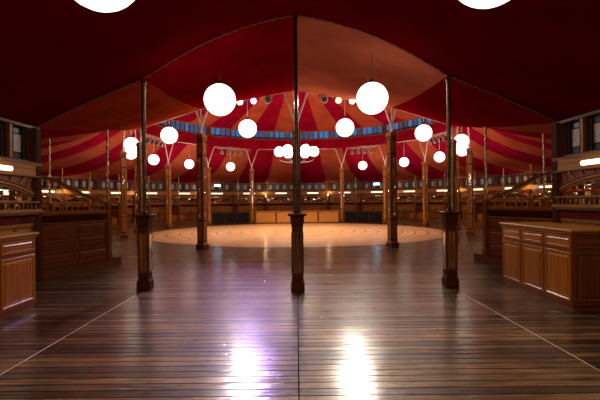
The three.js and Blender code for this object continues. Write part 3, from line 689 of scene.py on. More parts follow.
# %% Dance floor rings
RING_BOARD = 0.14
RING_GAP = 0.009
BOARD_LONG = 1.3
INLAY = 0.045
ARC_STEPS = 4
dance = Form()
rings = round(DANCE_RADIUS / RING_BOARD)
inlays = 0
for ring in range(rings):
    inner = ring * RING_BOARD
    outer = inner + RING_BOARD - (INLAY if ring % 4 == 3 else RING_GAP)
    pieces_round = max(6, round(2 * pi * outer / BOARD_LONG))
    for k in range(pieces_round):
        start = 2 * pi * (k + 0.5 * (ring % 2)) / pieces_round
        sweep_angle = 2 * pi / pieces_round - 0.004 / max(outer, 0.2)
        arc = [start + sweep_angle * s / ARC_STEPS for s in range(ARC_STEPS + 1)]
        outline = [(outer * cos(a), outer * sin(a)) for a in arc]
        short = max(inner, 0.01)
        outline += [(short * cos(a), short * sin(a)) for a in reversed(arc)]
        dance.plate(outline, (0.0, BOARD_THICK), upright=False)
    if ring % 4 == 3:
        inlays += 1
        circle = [2 * pi * k / 96 for k in range(97)]
        for a, b in zip(circle, circle[1:]):
            edge = [(r * cos(t), r * sin(t)) for r, t in
                    ((outer, a), (outer + INLAY, a), (outer + INLAY, b), (outer, b))]
            dance.plate(edge, (0.0, FILLING_THICK), 1, upright=False)
dance.make("dance_floor_rings", [dance_wood, dark], "dance_boards")
print("rings", rings, "dark inlaid rings", inlays)

# %% [markdown]
# Every bay of the wall looks the same from inside: leaded windows under the eave, a cornice
# with a tube lamp, an arch of ribs over a mirror, a row of little turned posts, a shelf and
# panelling. One bay is built at the origin in three steps, then repeated, as the joiners did.
# First come windows and cornice. Lead bars could be drawn on the glass, but as thin bars in
# front of it they stand out when seen from the side.

# %% Windows and cornice of one bay
HALF_BAY = BAY_WIDE / 2
WHOLE_BAY = (-HALF_BAY, HALF_BAY)
WINDOW = (2.30, 2.90)
CORNICE = (2.014, 2.205)
RAISED = [(0, 0), (0.004, 0.012), (0.022, 0.012), (0.03, 0.002), (0.04, 0.002), (0.062, 0.012)]
HONEY, BROWN, RED, MIRROR, LEAD, LAMP, PALE, BRASS, FROST, DARK = range(10)
wall_finishes = [honey, brown, red_paint, mirror, black, tube_light, pale, brass, frosted, dark]
booth_finishes = [counter_wood, red_brown, *wall_finishes[2:]]


def window_lights(form):
    """Four leaded casements: mullions, frames and lead bars in front of the glass."""
    casements = 4
    opening = 2.26
    wide = opening / casements
    for k in range(casements + 1):
        x = -opening / 2 + k * wide
        half = 0.035 if k % 2 else 0.024
        form.block(about(x, half), (-0.012, 0.07), WINDOW, HONEY if k % 2 else BROWN, ease=0.006)
    for k in range(casements):
        x = -opening / 2 + (k + 0.5) * wide
        low, high = WINDOW
        form.block(about(x, 0.124), (0.088, 0.097), (low + 0.136, high - 0.136), FROST)
        for side in (-1, 1):
            form.block(about(x + side * 0.13, 0.006), (0.06, 0.095), WINDOW, LEAD)
            edge = x + side * (wide / 2 - 0.052)
            form.block(about(edge, 0.013), (0.02, 0.09), WINDOW, BROWN)
        for z in (low + 0.012, low + 0.13, high - 0.13, high - 0.012):
            form.block(about(x, 0.24), (0.06, 0.094), about(z, 0.006), LEAD)


def cornice(form):
    """Mouldings above and below the cornice, a row of drilled holes and the tube lamp."""
    front = -0.06
    low, high = CORNICE
    form.block(WHOLE_BAY, (front - 0.035, 0.0), (2.23, 2.262), HONEY, ease=0.008)
    form.block(WHOLE_BAY, (front - 0.018, 0.0), (high, 2.232), HONEY, ease=0.006)
    form.block(WHOLE_BAY, (front - 0.02, 0.0), (1.988, low), HONEY, ease=0.006)
    form.block(WHOLE_BAY, (front - 0.006, front + 0.01), CORNICE, PALE)
    spacing = 0.063
    hole = 0.012
    hole_height = 2.135
    tray = 0.46
    count = int(HALF_BAY / spacing)
    # The drilled holes are flat black discs on the face: painted shade in place of their depth.
    for k in range(-count, count + 1):
        x = k * spacing
        if abs(x) < tray + 0.01:
            continue
        turns = (0, 1.05, 2.1, 3.14, 4.2, 5.25)
        outline = [(x + hole * cos(a), hole_height + hole * sin(a)) for a in turns]
        form.plate(outline, (front - 0.008, front - 0.005), LEAD)
    form.block((-tray, tray), (front - 0.03, front), (2.05, 2.15), PALE, ease=0.004)
    section = [(front - 0.03 - 0.035 * sin(a), 2.10 + 0.045 * cos(a))
               for a in (pi * s / 6 for s in range(7))]
    points = [(x, y, z) for x in (-tray + 0.015, tray - 0.015) for y, z in section]
    n = len(section)
    faces = [[i, i + 1, n + i + 1, n + i] for i in range(n - 1)] + [[n - 1, 0, n, 2 * n - 1]]
    faces += [list(range(n)), list(range(n, 2 * n))]
    form.add(points, faces, LAMP, smooth=True)


print("windows", round(WINDOW[1] - WINDOW[0], 2), "m high over a cornice at", CORNICE[0])

# %% [markdown]
# Below the cornice an arch of thin ribs spans the bay, with struts like sun rays above it and
# mirrors below. One large mirror would give one dull reflection. Bevelled panes that each lean
# a hair differently break the lamps into the glitter that such a tent is named for.

# %% Arch, mirrors and little posts
ARCH_HALF = 1.19
ARCADE = (1.38, 1.99)


def arch_height(x, crown=1.87, drop=0.22):
    """Height of the arch over the mirror, a flat circle arc."""
    radius = (ARCH_HALF * ARCH_HALF + drop * drop) / (2 * drop)
    return crown - radius + sqrt(radius * radius - x * x)


def mirror_panes(form, x, z, columns, rows, y=-0.012):
    """Bevelled mirror panes side by side. Their sloped edges throw the lamps' light about."""
    wide = (x[1] - x[0]) / columns
    tall = (z[1] - z[0]) / rows
    for column in range(columns):
        for row in range(rows):
            x0, z0 = x[0] + column * wide, z[0] + row * tall
            lean = 0.0022 * ((3 * column + 5 * row) % 5 - 2)
            tip = 0.0018 * ((5 * column + 2 * row) % 7 - 3)
            bevel = 0.016
            points = [(x0, y, z0), (x0 + wide, y, z0), (x0 + wide, y, z0 + tall), (x0, y, z0 + tall)]
            for u, v in ((0, 0), (1, 0), (1, 1), (0, 1)):
                px = x0 + bevel + u * (wide - 2 * bevel)
                pz = z0 + bevel + v * (tall - 2 * bevel)
                points.append((px, y - 0.005 - lean * (u - 0.5) - tip * (v - 0.5), pz))
            faces = [[0, 1, 5, 4], [1, 2, 6, 5], [2, 3, 7, 6], [3, 0, 4, 7], [4, 5, 6, 7]]
            form.add(points, faces, MIRROR)


def arcade(form):
    """The arch of ribs with its sunburst struts, over a mirror and a ledge."""
    stops = [-ARCH_HALF + 2 * ARCH_HALF * k / 16 for k in range(17)]
    arch = [(x, arch_height(x)) for x in stops]
    under = [(x, z - 0.02) for x, z in arch]
    form.plate([(-ARCH_HALF, 1.53), (ARCH_HALF, 1.53), *reversed(under)], (-0.006, -0.001), MIRROR)
    mirror_panes(form, (-1.16, 1.16), (1.535, 1.63), 14, 1)
    mirror_panes(form, (-0.83, 0.83), (1.63, 1.735), 10, 1)
    form.plate([(-ARCH_HALF, 2.0), *arch, (ARCH_HALF, 2.0)], (-0.010, -0.002), RED)
    form.rib(arch, 0.028, (-0.045, -0.004), PALE)
    form.rib([(x, z + 0.055) for x, z in arch], 0.014, (-0.032, -0.004), HONEY)
    form.rib([(x * 0.985, z - 0.045) for x, z in arch], 0.016, (-0.03, -0.004), PALE)
    for x, lean in ((0, 0), (0.25, 0.03), (0.5, 0.07), (0.74, 0.16)):
        for side in {1, -1} if x else {1}:
            foot = (side * x, arch_height(x) + 0.05)
            top = (side * (x + lean), 1.99)
            form.rib([foot, top], 0.018, (-0.036, -0.004), PALE)
    for side in (-1, 1):
        curl = [(side * (ARCH_HALF - 0.26 * cos(a)), 1.70 + 0.28 * sin(a)) for a in
                (0.25 * pi * k / 4 + 0.35 for k in range(5))]
        form.rib(curl, 0.016, (-0.034, -0.004), PALE)
        form.block(about(side * 1.2, 0.02), (-0.05, 0.0), ARCADE, HONEY, ease=0.005)
    form.block((-1.22, 1.22), (-0.10, 0.0), (1.505, 1.53), PALE, ease=0.006)


def turned_post(form, x, y, low, high, radius, finish):
    """A small turned post with a bead, a waist and a vase."""
    tall = high - low
    shape = ((0.9, 0.0), (0.9, 0.1), (0.45, 0.16), (1.0, 0.36), (0.5, 0.6), (0.4, 0.8), (0.9, 0.88),
             (0.9, 1.0))
    form.turned([(radius * r, low + tall * t) for r, t in shape], 6, (x, y), finish)


def post_row(form):
    """A row of little turned posts in front of a mirror strip."""
    mirror_panes(form, (-1.19, 1.19), (1.388, 1.5), 17, 1, y=-0.006)
    count = 20
    for k in range(count):
        x = -1.13 + 2.26 * k / (count - 1)
        turned_post(form, x, -0.07, 1.382, 1.506, 0.017, BRASS if k % 2 else HONEY)
    form.block((-1.22, 1.22), (-0.148, -0.12), (1.33, 1.386), PALE, ease=0.009)


print("arch", round(arch_height(0) - arch_height(ARCH_HALF), 2), "m high over", 2 * ARCH_HALF, "m")

# %% [markdown]
# With the panelling added the bay is whole. Array modifiers could repeat it, but matrices from
# the plan put every copy in its place at once. The foyer's bays have panels down to the floor.


# %% Whole bays, repeated
def inner_bay(tall_panels):
    """All of one bay. Bays with tall panels are for the foyer, where no bench hides the wall."""
    form = Form()
    window_lights(form)
    cornice(form)
    arcade(form)
    post_row(form)
    pilaster = 0.062
    for heights, deep in ((ARCADE, 0.055), ((2.262, EAVE), 0.03)):
        form.block((-HALF_BAY, -HALF_BAY + pilaster), (-deep, 0.0), heights, BROWN, ease=0.006)
        form.block((HALF_BAY - pilaster, HALF_BAY), (-deep, 0.0), heights, BROWN, ease=0.006)
    form.block(WHOLE_BAY, (-0.03, 0.0), (WINDOW[1], EAVE), BROWN, ease=0.006)
    form.block(WHOLE_BAY, (-0.03, 0.0), (1.06, 1.12), HONEY, ease=0.006)
    rows_of_panels = [(0.60, 1.05), (0.12, 0.58)] if tall_panels else [(0.64, 1.05)]
    for z0, z1 in rows_of_panels:
        for k in range(4):
            x = -1.24 + 0.62 * k
            form.panel((x + 0.02, 0), (x + 0.6, 0), (z0, z1), RAISED, HONEY)
    if tall_panels:
        form.block(WHOLE_BAY, (-0.025, 0.0), (0.0, 0.11), BROWN, ease=0.006)
    return form


hall_bay = inner_bay(False)
foyer_bay = inner_bay(True)
for arc in range(4):
    joinery = Form()
    joinery.repeat(hall_bay, [at_bay(bay, WALL_FACE) for bay in wall_bays[7 * arc:7 * arc + 7]])
    joinery.make(f"wall_joinery_{arc + 1}", wall_finishes, "panel_wood")
for side, word in ((1, "right"), (-1, "left")):
    joinery = Form()
    joinery.repeat(foyer_bay, [along_foyer(k, side) for k in range(FOYER_BAYS)])
    corner = sorted((side * (FOYER_SIDE - 0.075), side * (FOYER_SIDE + 0.02)))
    joinery.block(corner, (FOYER_END - 0.14, FOYER_END + 0.03), (0.0, EAVE - 0.03), DARK, ease=0.012)
    middle = sorted((side * (FOYER_SIDE - 0.06), side * (FOYER_SIDE - 0.01)))
    joinery.block(middle, (FOYER_END - 0.152, FOYER_END - 0.138), (0.0, EAVE - 0.03), BROWN, ease=0.004)
    joinery.make(f"foyer_joinery_{word}", wall_finishes, "panel_wood")

# %% [markdown]
# A padded red band runs round the wall above the benches, crowned and pulled in at seams every
# half metre. A cloth simulation would give much the same, but a band this long is more even as
# a loft whose fullness drops at each seam.

# %% Padded bands
BAND = (1.13, 1.27)
SEAM = 0.52


def padded_band(form, start, end, z, deep):
    """A crowned pad on a line in plan, facing its right-hand side, with sewn seams."""
    start, end = Vector(start), Vector(end)
    way = (end - start).normalized()
    out = Vector((way.y, -way.x))
    long = (end - start).length
    seams = max(1, round(long / SEAM))
    columns = seams * 6
    section = 6
    points = []
    for column in range(columns + 1):
        share = column / columns * seams
        full = abs(sin(pi * share)) ** 0.45
        for k in range(section + 1):
            angle = pi * k / section
            rise = deep * (0.35 + 0.65 * full) * sin(angle) ** 0.6 if 0 < k < section else 0.0
            height = (z[0] + z[1]) / 2 - (z[1] - z[0]) / 2 * cos(angle)
            foot = start + way * (long * column / columns) + out * rise
            points.append((foot.x, foot.y, height))
    form.skin(points, columns + 1, section + 1, 0, True)


def band_line(bay):
    """The wall's face between two bay lines, clear of the partitions."""
    reach = WALL_FACE - 0.001
    half = HALF_BAY - 0.035
    place = at_bay(bay)
    return [(place @ Vector((x, reach, 0))).to_2d() for x in (-half, half)]


bands = Form()
for bay in wall_bays:
    padded_band(bands, *band_line(bay), BAND, 0.058)
bands.make("wall_padding", [velvet], "upholstery", ["wall_backrest"])
foyer_bands = Form()
for side in (1, -1):
    for k in range(FOYER_BAYS):
        place = along_foyer(k, side)
        line = [(place @ Vector((x, -0.001, 0))).to_2d() for x in (-HALF_BAY + 0.02, HALF_BAY - 0.02)]
        padded_band(foyer_bands, *line, BAND, 0.055)
foyer_bands.make("foyer_padding", [velvet], "upholstery")

# %% [markdown]
# Between the booths stand partitions: a newel and a panelled body, a padded strip, a rail with
# turned posts, and a swan-neck rail that climbs to the wall. A barley-twist pole goes on up to
# the lining. All of it lies on one radius, so one template serves 29 of them.

# %% Booth partitions
PARTITION_IN = 11.5
PARTITION_OUT = WALL_IN - 0.012
PLATFORM_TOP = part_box("booth_platform")[1].z - FLOOR
POLE_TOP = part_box("booth_row_2")[1].z - FLOOR
RED_STRIP = (1.10, 1.25)


def swan(y):
    """Height of the swan-neck rail at a distance from the middle."""
    t = (y - PARTITION_IN) / (PARTITION_OUT - PARTITION_IN)
    return 1.5 + 0.5 * t * t * (3 - 2 * t)


def side_on(form, y, z, steps, finish, run=1):
    """The same panel on both faces of a partition."""
    for side in (-1, 1):
        ends = ((side * 0.022, y[0]), (side * 0.022, y[1]))
        form.panel(*(ends if side > 0 else ends[::-1]), z, steps, finish, run=run)


def partition():
    """One partition, on the line x = 0, with y as its distance from the middle."""
    form = Form()
    near, far = PARTITION_IN, PARTITION_OUT
    form.block((-0.055, 0.055), about(near, 0.055), (PLATFORM_TOP, 1.47), BROWN, ease=0.01)
    for heights, finish in (((PLATFORM_TOP, PLATFORM_TOP + 0.12), BROWN), ((1.45, 1.49), HONEY)):
        form.block((-0.07, 0.07), about(near, 0.07), heights, finish, ease=0.01)
    form.twisted((0, near), (1.49, POLE_TOP), 0.024, 0.21, BRASS)
    form.block((-0.022, 0.022), (near, far), (PLATFORM_TOP, 1.27), BROWN)
    form.block((-0.03, 0.03), (near, far), (PLATFORM_TOP, PLATFORM_TOP + 0.05), BROWN, ease=0.004)
    middle = (near + far) / 2
    lows = (PLATFORM_TOP + 0.05, 0.50, 0.80)
    highs = (0.48, 0.78, 1.07)
    for low, high in zip(lows, highs):
        side_on(form, (near + 0.075, middle - 0.04), (low, high), RAISED, BROWN)
        side_on(form, (middle + 0.04, far - 0.02), (low, high), RAISED, BROWN)
        form.block((-0.034, 0.034), (near, far), (high, high + 0.022), BROWN, ease=0.005)
    for rail in ((1.075, 1.10), (1.25, 1.275)):
        form.block((-0.036, 0.036), (near, far), rail, HONEY, ease=0.006)
    form.block((-0.042, 0.042), (near, far), (1.275, 1.335), HONEY, ease=0.012)
    count = 12
    for k in range(count):
        y = near + 0.1 + (far - near - 0.16) * k / (count - 1)
        turned_post(form, 0, y, 1.335, 1.475, 0.02, PALE if k % 2 else HONEY)
    form.block((-0.026, 0.026), (near, far), (1.475, 1.505), HONEY, ease=0.006)
    stops = [near + 0.03 + (far - near - 0.03) * k / 14 for k in range(15)]
    rail = Form()
    rail.rib([(y, swan(y)) for y in stops], 0.034, (-0.03, 0.03), BROWN)
    rail.rib([(y, swan(y) + 0.024) for y in stops], 0.014, (-0.042, 0.042), BROWN)
    rail.rib([(y, swan(y) - 0.05) for y in stops[4:]], 0.014, (-0.02, 0.02), PALE)
    disc = [(near + 0.13 + 0.045 * cos(a), 1.545 + 0.045 * sin(a)) for a in
            (pi * k / 6 for k in range(12))]
    rail.plate(disc, (-0.042, 0.042), BRASS)
    form.repeat(rail, [Matrix.Rotation(pi / 2, 4, "Z")])
    return form


one_partition = partition()
strips = Form()
for bay in range(FIRST_BAY, LAST_BAY + 1):
    place = at_bay(bay)
    for side in (-1, 1):
        ends = (PARTITION_IN + 0.07, PARTITION_OUT - 0.07)
        line = [(place @ Vector((side * 0.022, y, 0))).to_2d() for y in ends]
        padded_band(strips, *(line if side > 0 else line[::-1]), RED_STRIP, 0.03)
# The strips take the darker copy of the velvet, as painted shade.
strips.make("partition_padding", [shaded_velvet], "upholstery")

# %% [markdown]
# Each booth has a bench on three sides, panelled in front. Its plan is cut to the ring's
# angles, so its sides follow the partitions. Bevelled cubes would leave wedges open there, and
# an outline sawn to the plan leaves none.

# %% Booth benches
SEAT = PLATFORM_TOP + 0.40
BENCH_NEAR = 11.64 * FLAT
BENCH_SIDE = 0.42
BENCH_BACK = WALL_FACE - 0.45
CUSHION_THICK = 0.055


def half_width(y):
    """Half the booth's width between its partitions at a distance from the middle."""
    return y * tan(STEP / 2) - 0.031


def bench():
    """The boarded bench of one booth, in three parts."""
    form = Form()
    heights = (PLATFORM_TOP + 0.04, SEAT - 0.03)
    back = WALL_FACE - 0.002
    inner = half_width(BENCH_NEAR) - BENCH_SIDE
    deep = half_width(BENCH_BACK) - BENCH_SIDE
    for side in (-1, 1):
        wide = half_width(BENCH_NEAR)
        outline = [(side * x, y) for x, y in (
            (inner, BENCH_NEAR), (wide, BENCH_NEAR), (half_width(back), back), (deep, back),
            (deep, BENCH_BACK))]
        form.plate(outline, (PLATFORM_TOP, SEAT), HONEY, upright=False, run=1)
        front = ((side * inner, BENCH_NEAR), (side * wide, BENCH_NEAR))
        along = ((side * deep, BENCH_BACK), (side * inner, BENCH_NEAR))
        form.panel(*(front if side > 0 else front[::-1]), heights, RAISED, HONEY)
        line = [Vector(p) for p in (along if side < 0 else along[::-1])]
        halfway = (line[0] + line[1]) / 2
        for start, end in ((line[1], halfway), (halfway, line[0])):
            form.panel(start, end, heights, RAISED, HONEY)
    form.plate([(-deep, BENCH_BACK), (deep, BENCH_BACK), (deep, back), (-deep, back)],
               (PLATFORM_TOP, SEAT), HONEY, upright=False)
    for start, end in (((-deep, BENCH_BACK), (0, BENCH_BACK)), ((0, BENCH_BACK), (deep, BENCH_BACK))):
        form.panel(start, end, heights, RAISED, HONEY)
    return form


one_bench = bench()
print("bench", len(one_bench.faces), "faces")

# %% [markdown] Cushions need a crown and soft edges, or they would read as blocks. Here a
# cloth simulation blows up the covers of one booth, its pressure standing for the filling,
# and the shape that settles is repeated in every booth.


# %% Seat cushions
def cushion(form, outline, low, thick):
    """A crowned pad over a four-cornered outline, its sides pulled in between the corners."""
    a, b, c, d = [Vector(p) for p in outline]
    across, along = 8, 10
    points = []
    for layer in (0, 1):
        for i in range(across + 1):
            for j in range(along + 1):
                u, v = i / across, j / along
                pull = 0.04 * (4 * v * (1 - v)) * (2 * u - 1) ** 3
                tuck = 0.03 * (4 * u * (1 - u)) * (2 * v - 1) ** 3
                uu, vv = u - pull, v - tuck
                place = (a * (1 - uu) + b * uu) * (1 - vv) + (d * (1 - uu) + c * uu) * vv
                round_off = (1 - (2 * u - 1) ** 6) * (1 - (2 * v - 1) ** 6)
                crown = 0.55 + 0.45 * sin(pi * u) * sin(pi * v)
                height = thick * crown * round_off ** 0.5 if layer else 0.0
                points.append((place.x, place.y, low + height))
    row = along + 1
    layer_size = (across + 1) * row
    faces = []
    for i in range(across):
        for j in range(along):
            k = i * row + j
            top = layer_size + k
            faces.append([k, k + row, k + row + 1, k + 1])
            faces.append([top, top + 1, top + row + 1, top + row])
    form.add(points, faces, 0, True)


def seat_cushions():
    """The cushions of one booth: left, right, and two at the back."""
    form = Form()
    back = WALL_FACE - 0.02
    front = BENCH_BACK + 0.005
    near, far = half_width(BENCH_NEAR), half_width(BENCH_BACK)
    for side in (-1, 1):
        outline = [(side * x, y) for x, y in (
            (near - BENCH_SIDE + 0.01, BENCH_NEAR + 0.01), (near - 0.012, BENCH_NEAR + 0.01),
            (far - 0.012, BENCH_BACK - 0.012), (far - BENCH_SIDE + 0.01, BENCH_BACK - 0.012))]
        cushion(form, outline, SEAT, CUSHION_THICK)
    wide = far - 0.02
    for x0, x1 in ((-wide, -0.006), (0.006, wide)):
        cushion(form, [(x0, front), (x1, front), (x1, back), (x0, back)], SEAT, CUSHION_THICK)
    return form


def settle(piece):
    """Makes what the modifiers show the piece's own mesh."""
    seen = piece.evaluated_get(bpy.context.evaluated_depsgraph_get())
    mesh = bpy.data.meshes.new_from_object(seen)
    piece.modifiers.clear()
    piece.data = mesh


def stuffed(form, swell=0.010):
    """The same pads as covers that their filling blows up, then thinned to a light mesh."""
    scene = bpy.context.scene
    mesh = bpy.data.meshes.new("covers")
    mesh.from_pydata(form.points, [], form.faces)
    covers = show("covers", mesh)
    even = covers.modifiers.new("even", "REMESH")
    even.mode = "VOXEL"
    even.voxel_size = 0.014
    settle(covers)
    start = [corner.co.copy() for corner in covers.data.vertices]
    cloth_filling = covers.modifiers.new("filling", "CLOTH").settings
    cloth_filling.use_pressure = True
    cloth_filling.uniform_pressure_force = 4
    cloth_filling.effector_weights.gravity = 0
    before = scene.frame_current
    for moment in range(1, 21):
        scene.frame_set(moment)
    settle(covers)
    scene.frame_set(before)
    for corner, origin in zip(covers.data.vertices, start):
        way = corner.co - origin
        corner.co = origin + way * min(1.0, swell / max(way.length, 1e-6))
        corner.co.z = max(corner.co.z, SEAT + 0.001)
    covers.modifiers.new("thin", "DECIMATE").ratio = 0.16
    settle(covers)
    print("simulated pads", len(start), "points, kept", len(covers.data.vertices))
    result = Form()
    corners = [tuple(corner.co) for corner in covers.data.vertices]
    result.add(corners, [list(face.vertices) for face in covers.data.polygons], 0, True)
    bpy.data.objects.remove(covers)
    return result


one_seat = stuffed(seat_cushions())
print("seat cushions of a booth", len(one_seat.faces), "faces")

# %% [markdown]
# A small round table on a turned leg stands in each booth. A turning needs only its profile,
# so foot, leg and top are two short lists. Then partitions, benches, cushions and tables are set
# round the hall, the joinery in the same four arcs as the measured solids it takes the place of.

# %% Tables, and the booths in rows
TABLE_REACH = 12.12
TABLE_HIGH = 0.72


def table():
    """A round table on a turned leg."""
    form = Form()
    top = PLATFORM_TOP + TABLE_HIGH
    leg = [(0.2, 0.0), (0.2, 0.02), (0.06, 0.05), (0.03, 0.12), (0.045, 0.3), (0.025, 0.5),
           (0.05, 0.66), (0.12, 0.695)]
    form.turned([(r, PLATFORM_TOP + h) for r, h in leg], 12, (0, TABLE_REACH), 1)
    edge = [(0.30, -0.03), (0.325, -0.028), (0.335, -0.012), (0.325, 0.0), (0.004, 0.0)]
    form.turned([(r, top + h) for r, h in edge], 24, (0, TABLE_REACH), 0, smooth=False)
    return form


for arc in range(4):
    first = FIRST_BAY + 7 * arc
    row = Form()
    row.repeat(one_partition, [at_bay(bay) for bay in range(first, first + (8 if arc == 3 else 7))])
    row.repeat(one_bench, [at_bay(bay + 0.5) for bay in range(first, first + 7)])
    row.make(f"booth_joinery_{arc + 1}", booth_finishes, "booth_wood", [f"booth_row_{arc + 1}"])
cushions = Form()
cushions.repeat(one_seat, [at_bay(bay) for bay in wall_bays])
cushions.make("seat_cushions", [velvet], "upholstery")
tables = Form()
tables.repeat(table(), [at_bay(bay) for bay in wall_bays])
tables.make("booth_tables", [pale, bronze], "booth_wood")

# %% [markdown]
# Sixteen posts carry the cupola. Each is square, with a strip of small mirrors let into every
# face, a plinth and a cap. What one face shows is built once and turned to all four. Tiles
# drawn in a texture would all shine alike, and real ones that lean a little do not.

# %% Ring posts
POST_TOP = 3.6
QUARTERS = [Matrix.Rotation(pi / 2 * k, 4, "Z") for k in range(4)]
post_finishes = [honey, brown, red_paint, post_mirror, black, tube_light, pale, brass, steel, bronze]
STEEL, BRONZE = 8, 9


def mirror_strip(form, half, z, rows):
    """Small mirror tiles in two columns in a frame, on the four faces of a square post."""
    low, high = z
    tile = (high - low) / rows
    face = Form()
    # The frame is pale wood: a painted highlight for the light that falls on the posts.
    face.panel((-0.062, -half), (0.062, -half), (low - 0.05, high + 0.05),
               [(0, 0), (0.002, 0.01), (0.016, 0.01), (0.02, 0.003)], PALE)
    for row in range(rows):
        for column in (-1, 1):
            x = column * 0.0205
            z0 = low + row * tile
            lean = 0.0016 * ((2 * row + 3 * column) % 5 - 2)
            corners = ((-1, -1, z0 + 0.003), (1, 1, z0 + 0.003), (1, -1, z0 + tile - 0.003),
                       (-1, 1, z0 + tile - 0.003))
            points = [(x + a * 0.018, -half - 0.006 + b * lean, height) for a, b, height in corners]
            face.add(points, [[0, 1, 2, 3]], MIRROR)
    form.repeat(face, QUARTERS)


def ring_post():
    """One post at the origin, facing -Y."""
    form = Form()
    half = 0.115
    form.square(half, (0.0, POST_TOP), BROWN, 0.012)
    form.square(0.15, (0.0, 0.16), BROWN, 0.012)
    form.square(0.135, (0.16, 0.2), HONEY, 0.015)
    mirror_strip(form, half, (0.98, 2.85), 36)
    for heights in ((0.28, 0.86), (2.98, 3.36)):
        side = Form()
        side.panel((-0.08, -half), (0.08, -half), heights, RAISED[:5] + [(0.055, 0.008)], HONEY)
        for turn in QUARTERS:
            form.repeat(side, [turn])
    for wide, low, high in ((0.128, 3.42, 3.45), (0.14, 3.5, 3.56), (0.125, 3.56, 3.62)):
        form.square(wide, (low, high), HONEY, 0.01)
    socket = [(0.05, 3.62), (0.05, 3.66), (0.035, 3.68), (0.035, 3.86), (0.045, 3.9)]
    form.turned(socket, 12, (0, 0), STEEL)
    return form


one_post = ring_post()
print("ring post", len(one_post.faces), "faces")

# %% [markdown]
# Bent tubes leave each post in a narrow V and join the next post's in a flat arch, and a globe
# lamp hangs from the middle of most arches. A bent tube has no sharp corner, so a curve joins
# the straight parts of its path. Uprights on five of the posts hold up the entrance's cloth.

# %% Arches and globes
ARCH_TOP = 4.98
GLOBE = 0.28
RING_GLOBE = 3.73


def arch_path():
    """The bent tube between two posts, from one top to the other, about x = 0."""
    half = RING_SIDE / 2
    bend = 0.17
    foot = [(half - 0.02, 3.8), (half - 0.06, 3.95)]
    corner = Vector((half - 0.42, ARCH_TOP - 0.02))
    way = (corner - Vector(foot[1])).normalized()
    curve = []
    for k in range(7):
        t = k / 6
        start = corner - way * bend
        end = corner + Vector((-bend, 0))
        curve.append(start * (1 - t) ** 2 + corner * 2 * t * (1 - t) + end * t * t)
    right = foot + [tuple(p) for p in curve]
    return right + [(-x, z) for x, z in reversed(right)]


def ring_arch(lamp=True):
    """Arch tube, lamp rod and cap for one side of the ring, at y = 0."""
    form = Form()
    form.sweep([(x, 0, z) for x, z in arch_path()], 0.027, 8, STEEL)
    if not lamp:
        return form
    form.sweep([(0, 0, RING_GLOBE + GLOBE - 0.01), (0, 0, ARCH_TOP - 0.03)], 0.009, 6, STEEL)
    top = RING_GLOBE + GLOBE
    cap = [(0.07, top - 0.03), (0.075, top + 0.005), (0.03, top + 0.04), (0.012, top + 0.09)]
    form.turned(cap, 14, (0, 0), BRONZE)
    return form


lamp_arch = ring_arch()
bare_arch = ring_arch(lamp=False)
LAMPLESS_SIDES = (15, 17)  # over the far counter
UPRIGHTS = {0: 4.82, 2: 4.41, 4: 4.11, 28: 4.11, 30: 4.41}  # posts that hold up the entrance cloth
ring_sides = range(1, BAYS, 2)
for quarter in range(4):
    first = 8 * quarter
    part = Form()
    part.repeat(one_post, [at_bay(first + 2 * k, RING) for k in range(4)])
    for side in ring_sides[4 * quarter:4 * quarter + 4]:
        part.repeat(bare_arch if side in LAMPLESS_SIDES else lamp_arch, [at_bay(side, RING_REACH)])
    for bay in range(first, first + 8, 2):
        if bay in UPRIGHTS:
            foot = polar(RING + 0.015, bay).to_2d()
            tip = UPRIGHTS[bay]
            part.turned([(0.024, 3.62), (0.024, tip - 0.02), (0.034, tip - 0.012)], 10, foot, STEEL)
    part.make(f"ring_posts_{quarter + 1}", post_finishes, "post_wood", [f"post_ring_{quarter + 1}"])
ring_globes = Form()
lit_sides = [side for side in ring_sides if side not in LAMPLESS_SIDES]
for side in lit_sides:
    ring_globes.ball(polar(RING_REACH, side, RING_GLOBE), GLOBE)
ring_globes.make("ring_globes", [opal], "lamp_glass")

# %% [markdown]
# Four hundred square metres of striped cloth hang under the roof. Each stripe runs from the
# wall up to the ring and sags between its seams and along its length. It is a grid whose
# heights follow that sag, with soft folds. A simulation would not keep to the sag as measured.

# %% Cloth helpers
SAG_POINTS = [(13.12, 2.935), (11.8, 3.14), (10.4, 3.50), (9.2, 4.02), (8.4, 4.56), (7.86, 5.0)]


def smooth_curve(points, t):
    """A smooth curve through points, t from 0 to 1."""
    spans = len(points) - 1
    i = min(int(t * spans), spans - 1)
    s = t * spans - i
    p = [Vector(points[min(max(i + k, 0), spans)]) for k in (-1, 0, 1, 2)]
    return 0.5 * ((2 * p[1]) + (p[2] - p[0]) * s + (2 * p[0] - 5 * p[1] + 4 * p[2] - p[3]) * s * s
                  + (3 * p[1] - p[0] - 3 * p[2] + p[3]) * s ** 3)


def ring_reach(radius, bay):
    """The ring has 16 sides, so every other bay line meets it on a side."""
    offset = abs((bay + 1) % 2 - 1)
    return radius * cos(STEP) / cos(STEP * (1 - offset))


def grid(form, columns, rows, place, finish=0):
    """A sheet of cloth: place(u, v) gives each point."""
    points = [place(i / columns, j / rows) for i in range(columns + 1) for j in range(rows + 1)]
    faces = []
    for i in range(columns):
        for j in range(rows):
            k = i * (rows + 1) + j
            faces.append([k, k + rows + 1, k + rows + 2, k + 1])
    form.add(points, faces, finish, True)


def hang(form, name, finishes, slot, replaces):
    """Makes a cloth as it was laid out."""
    piece = form.make(name, finishes, slot, replaces, cloth=True)


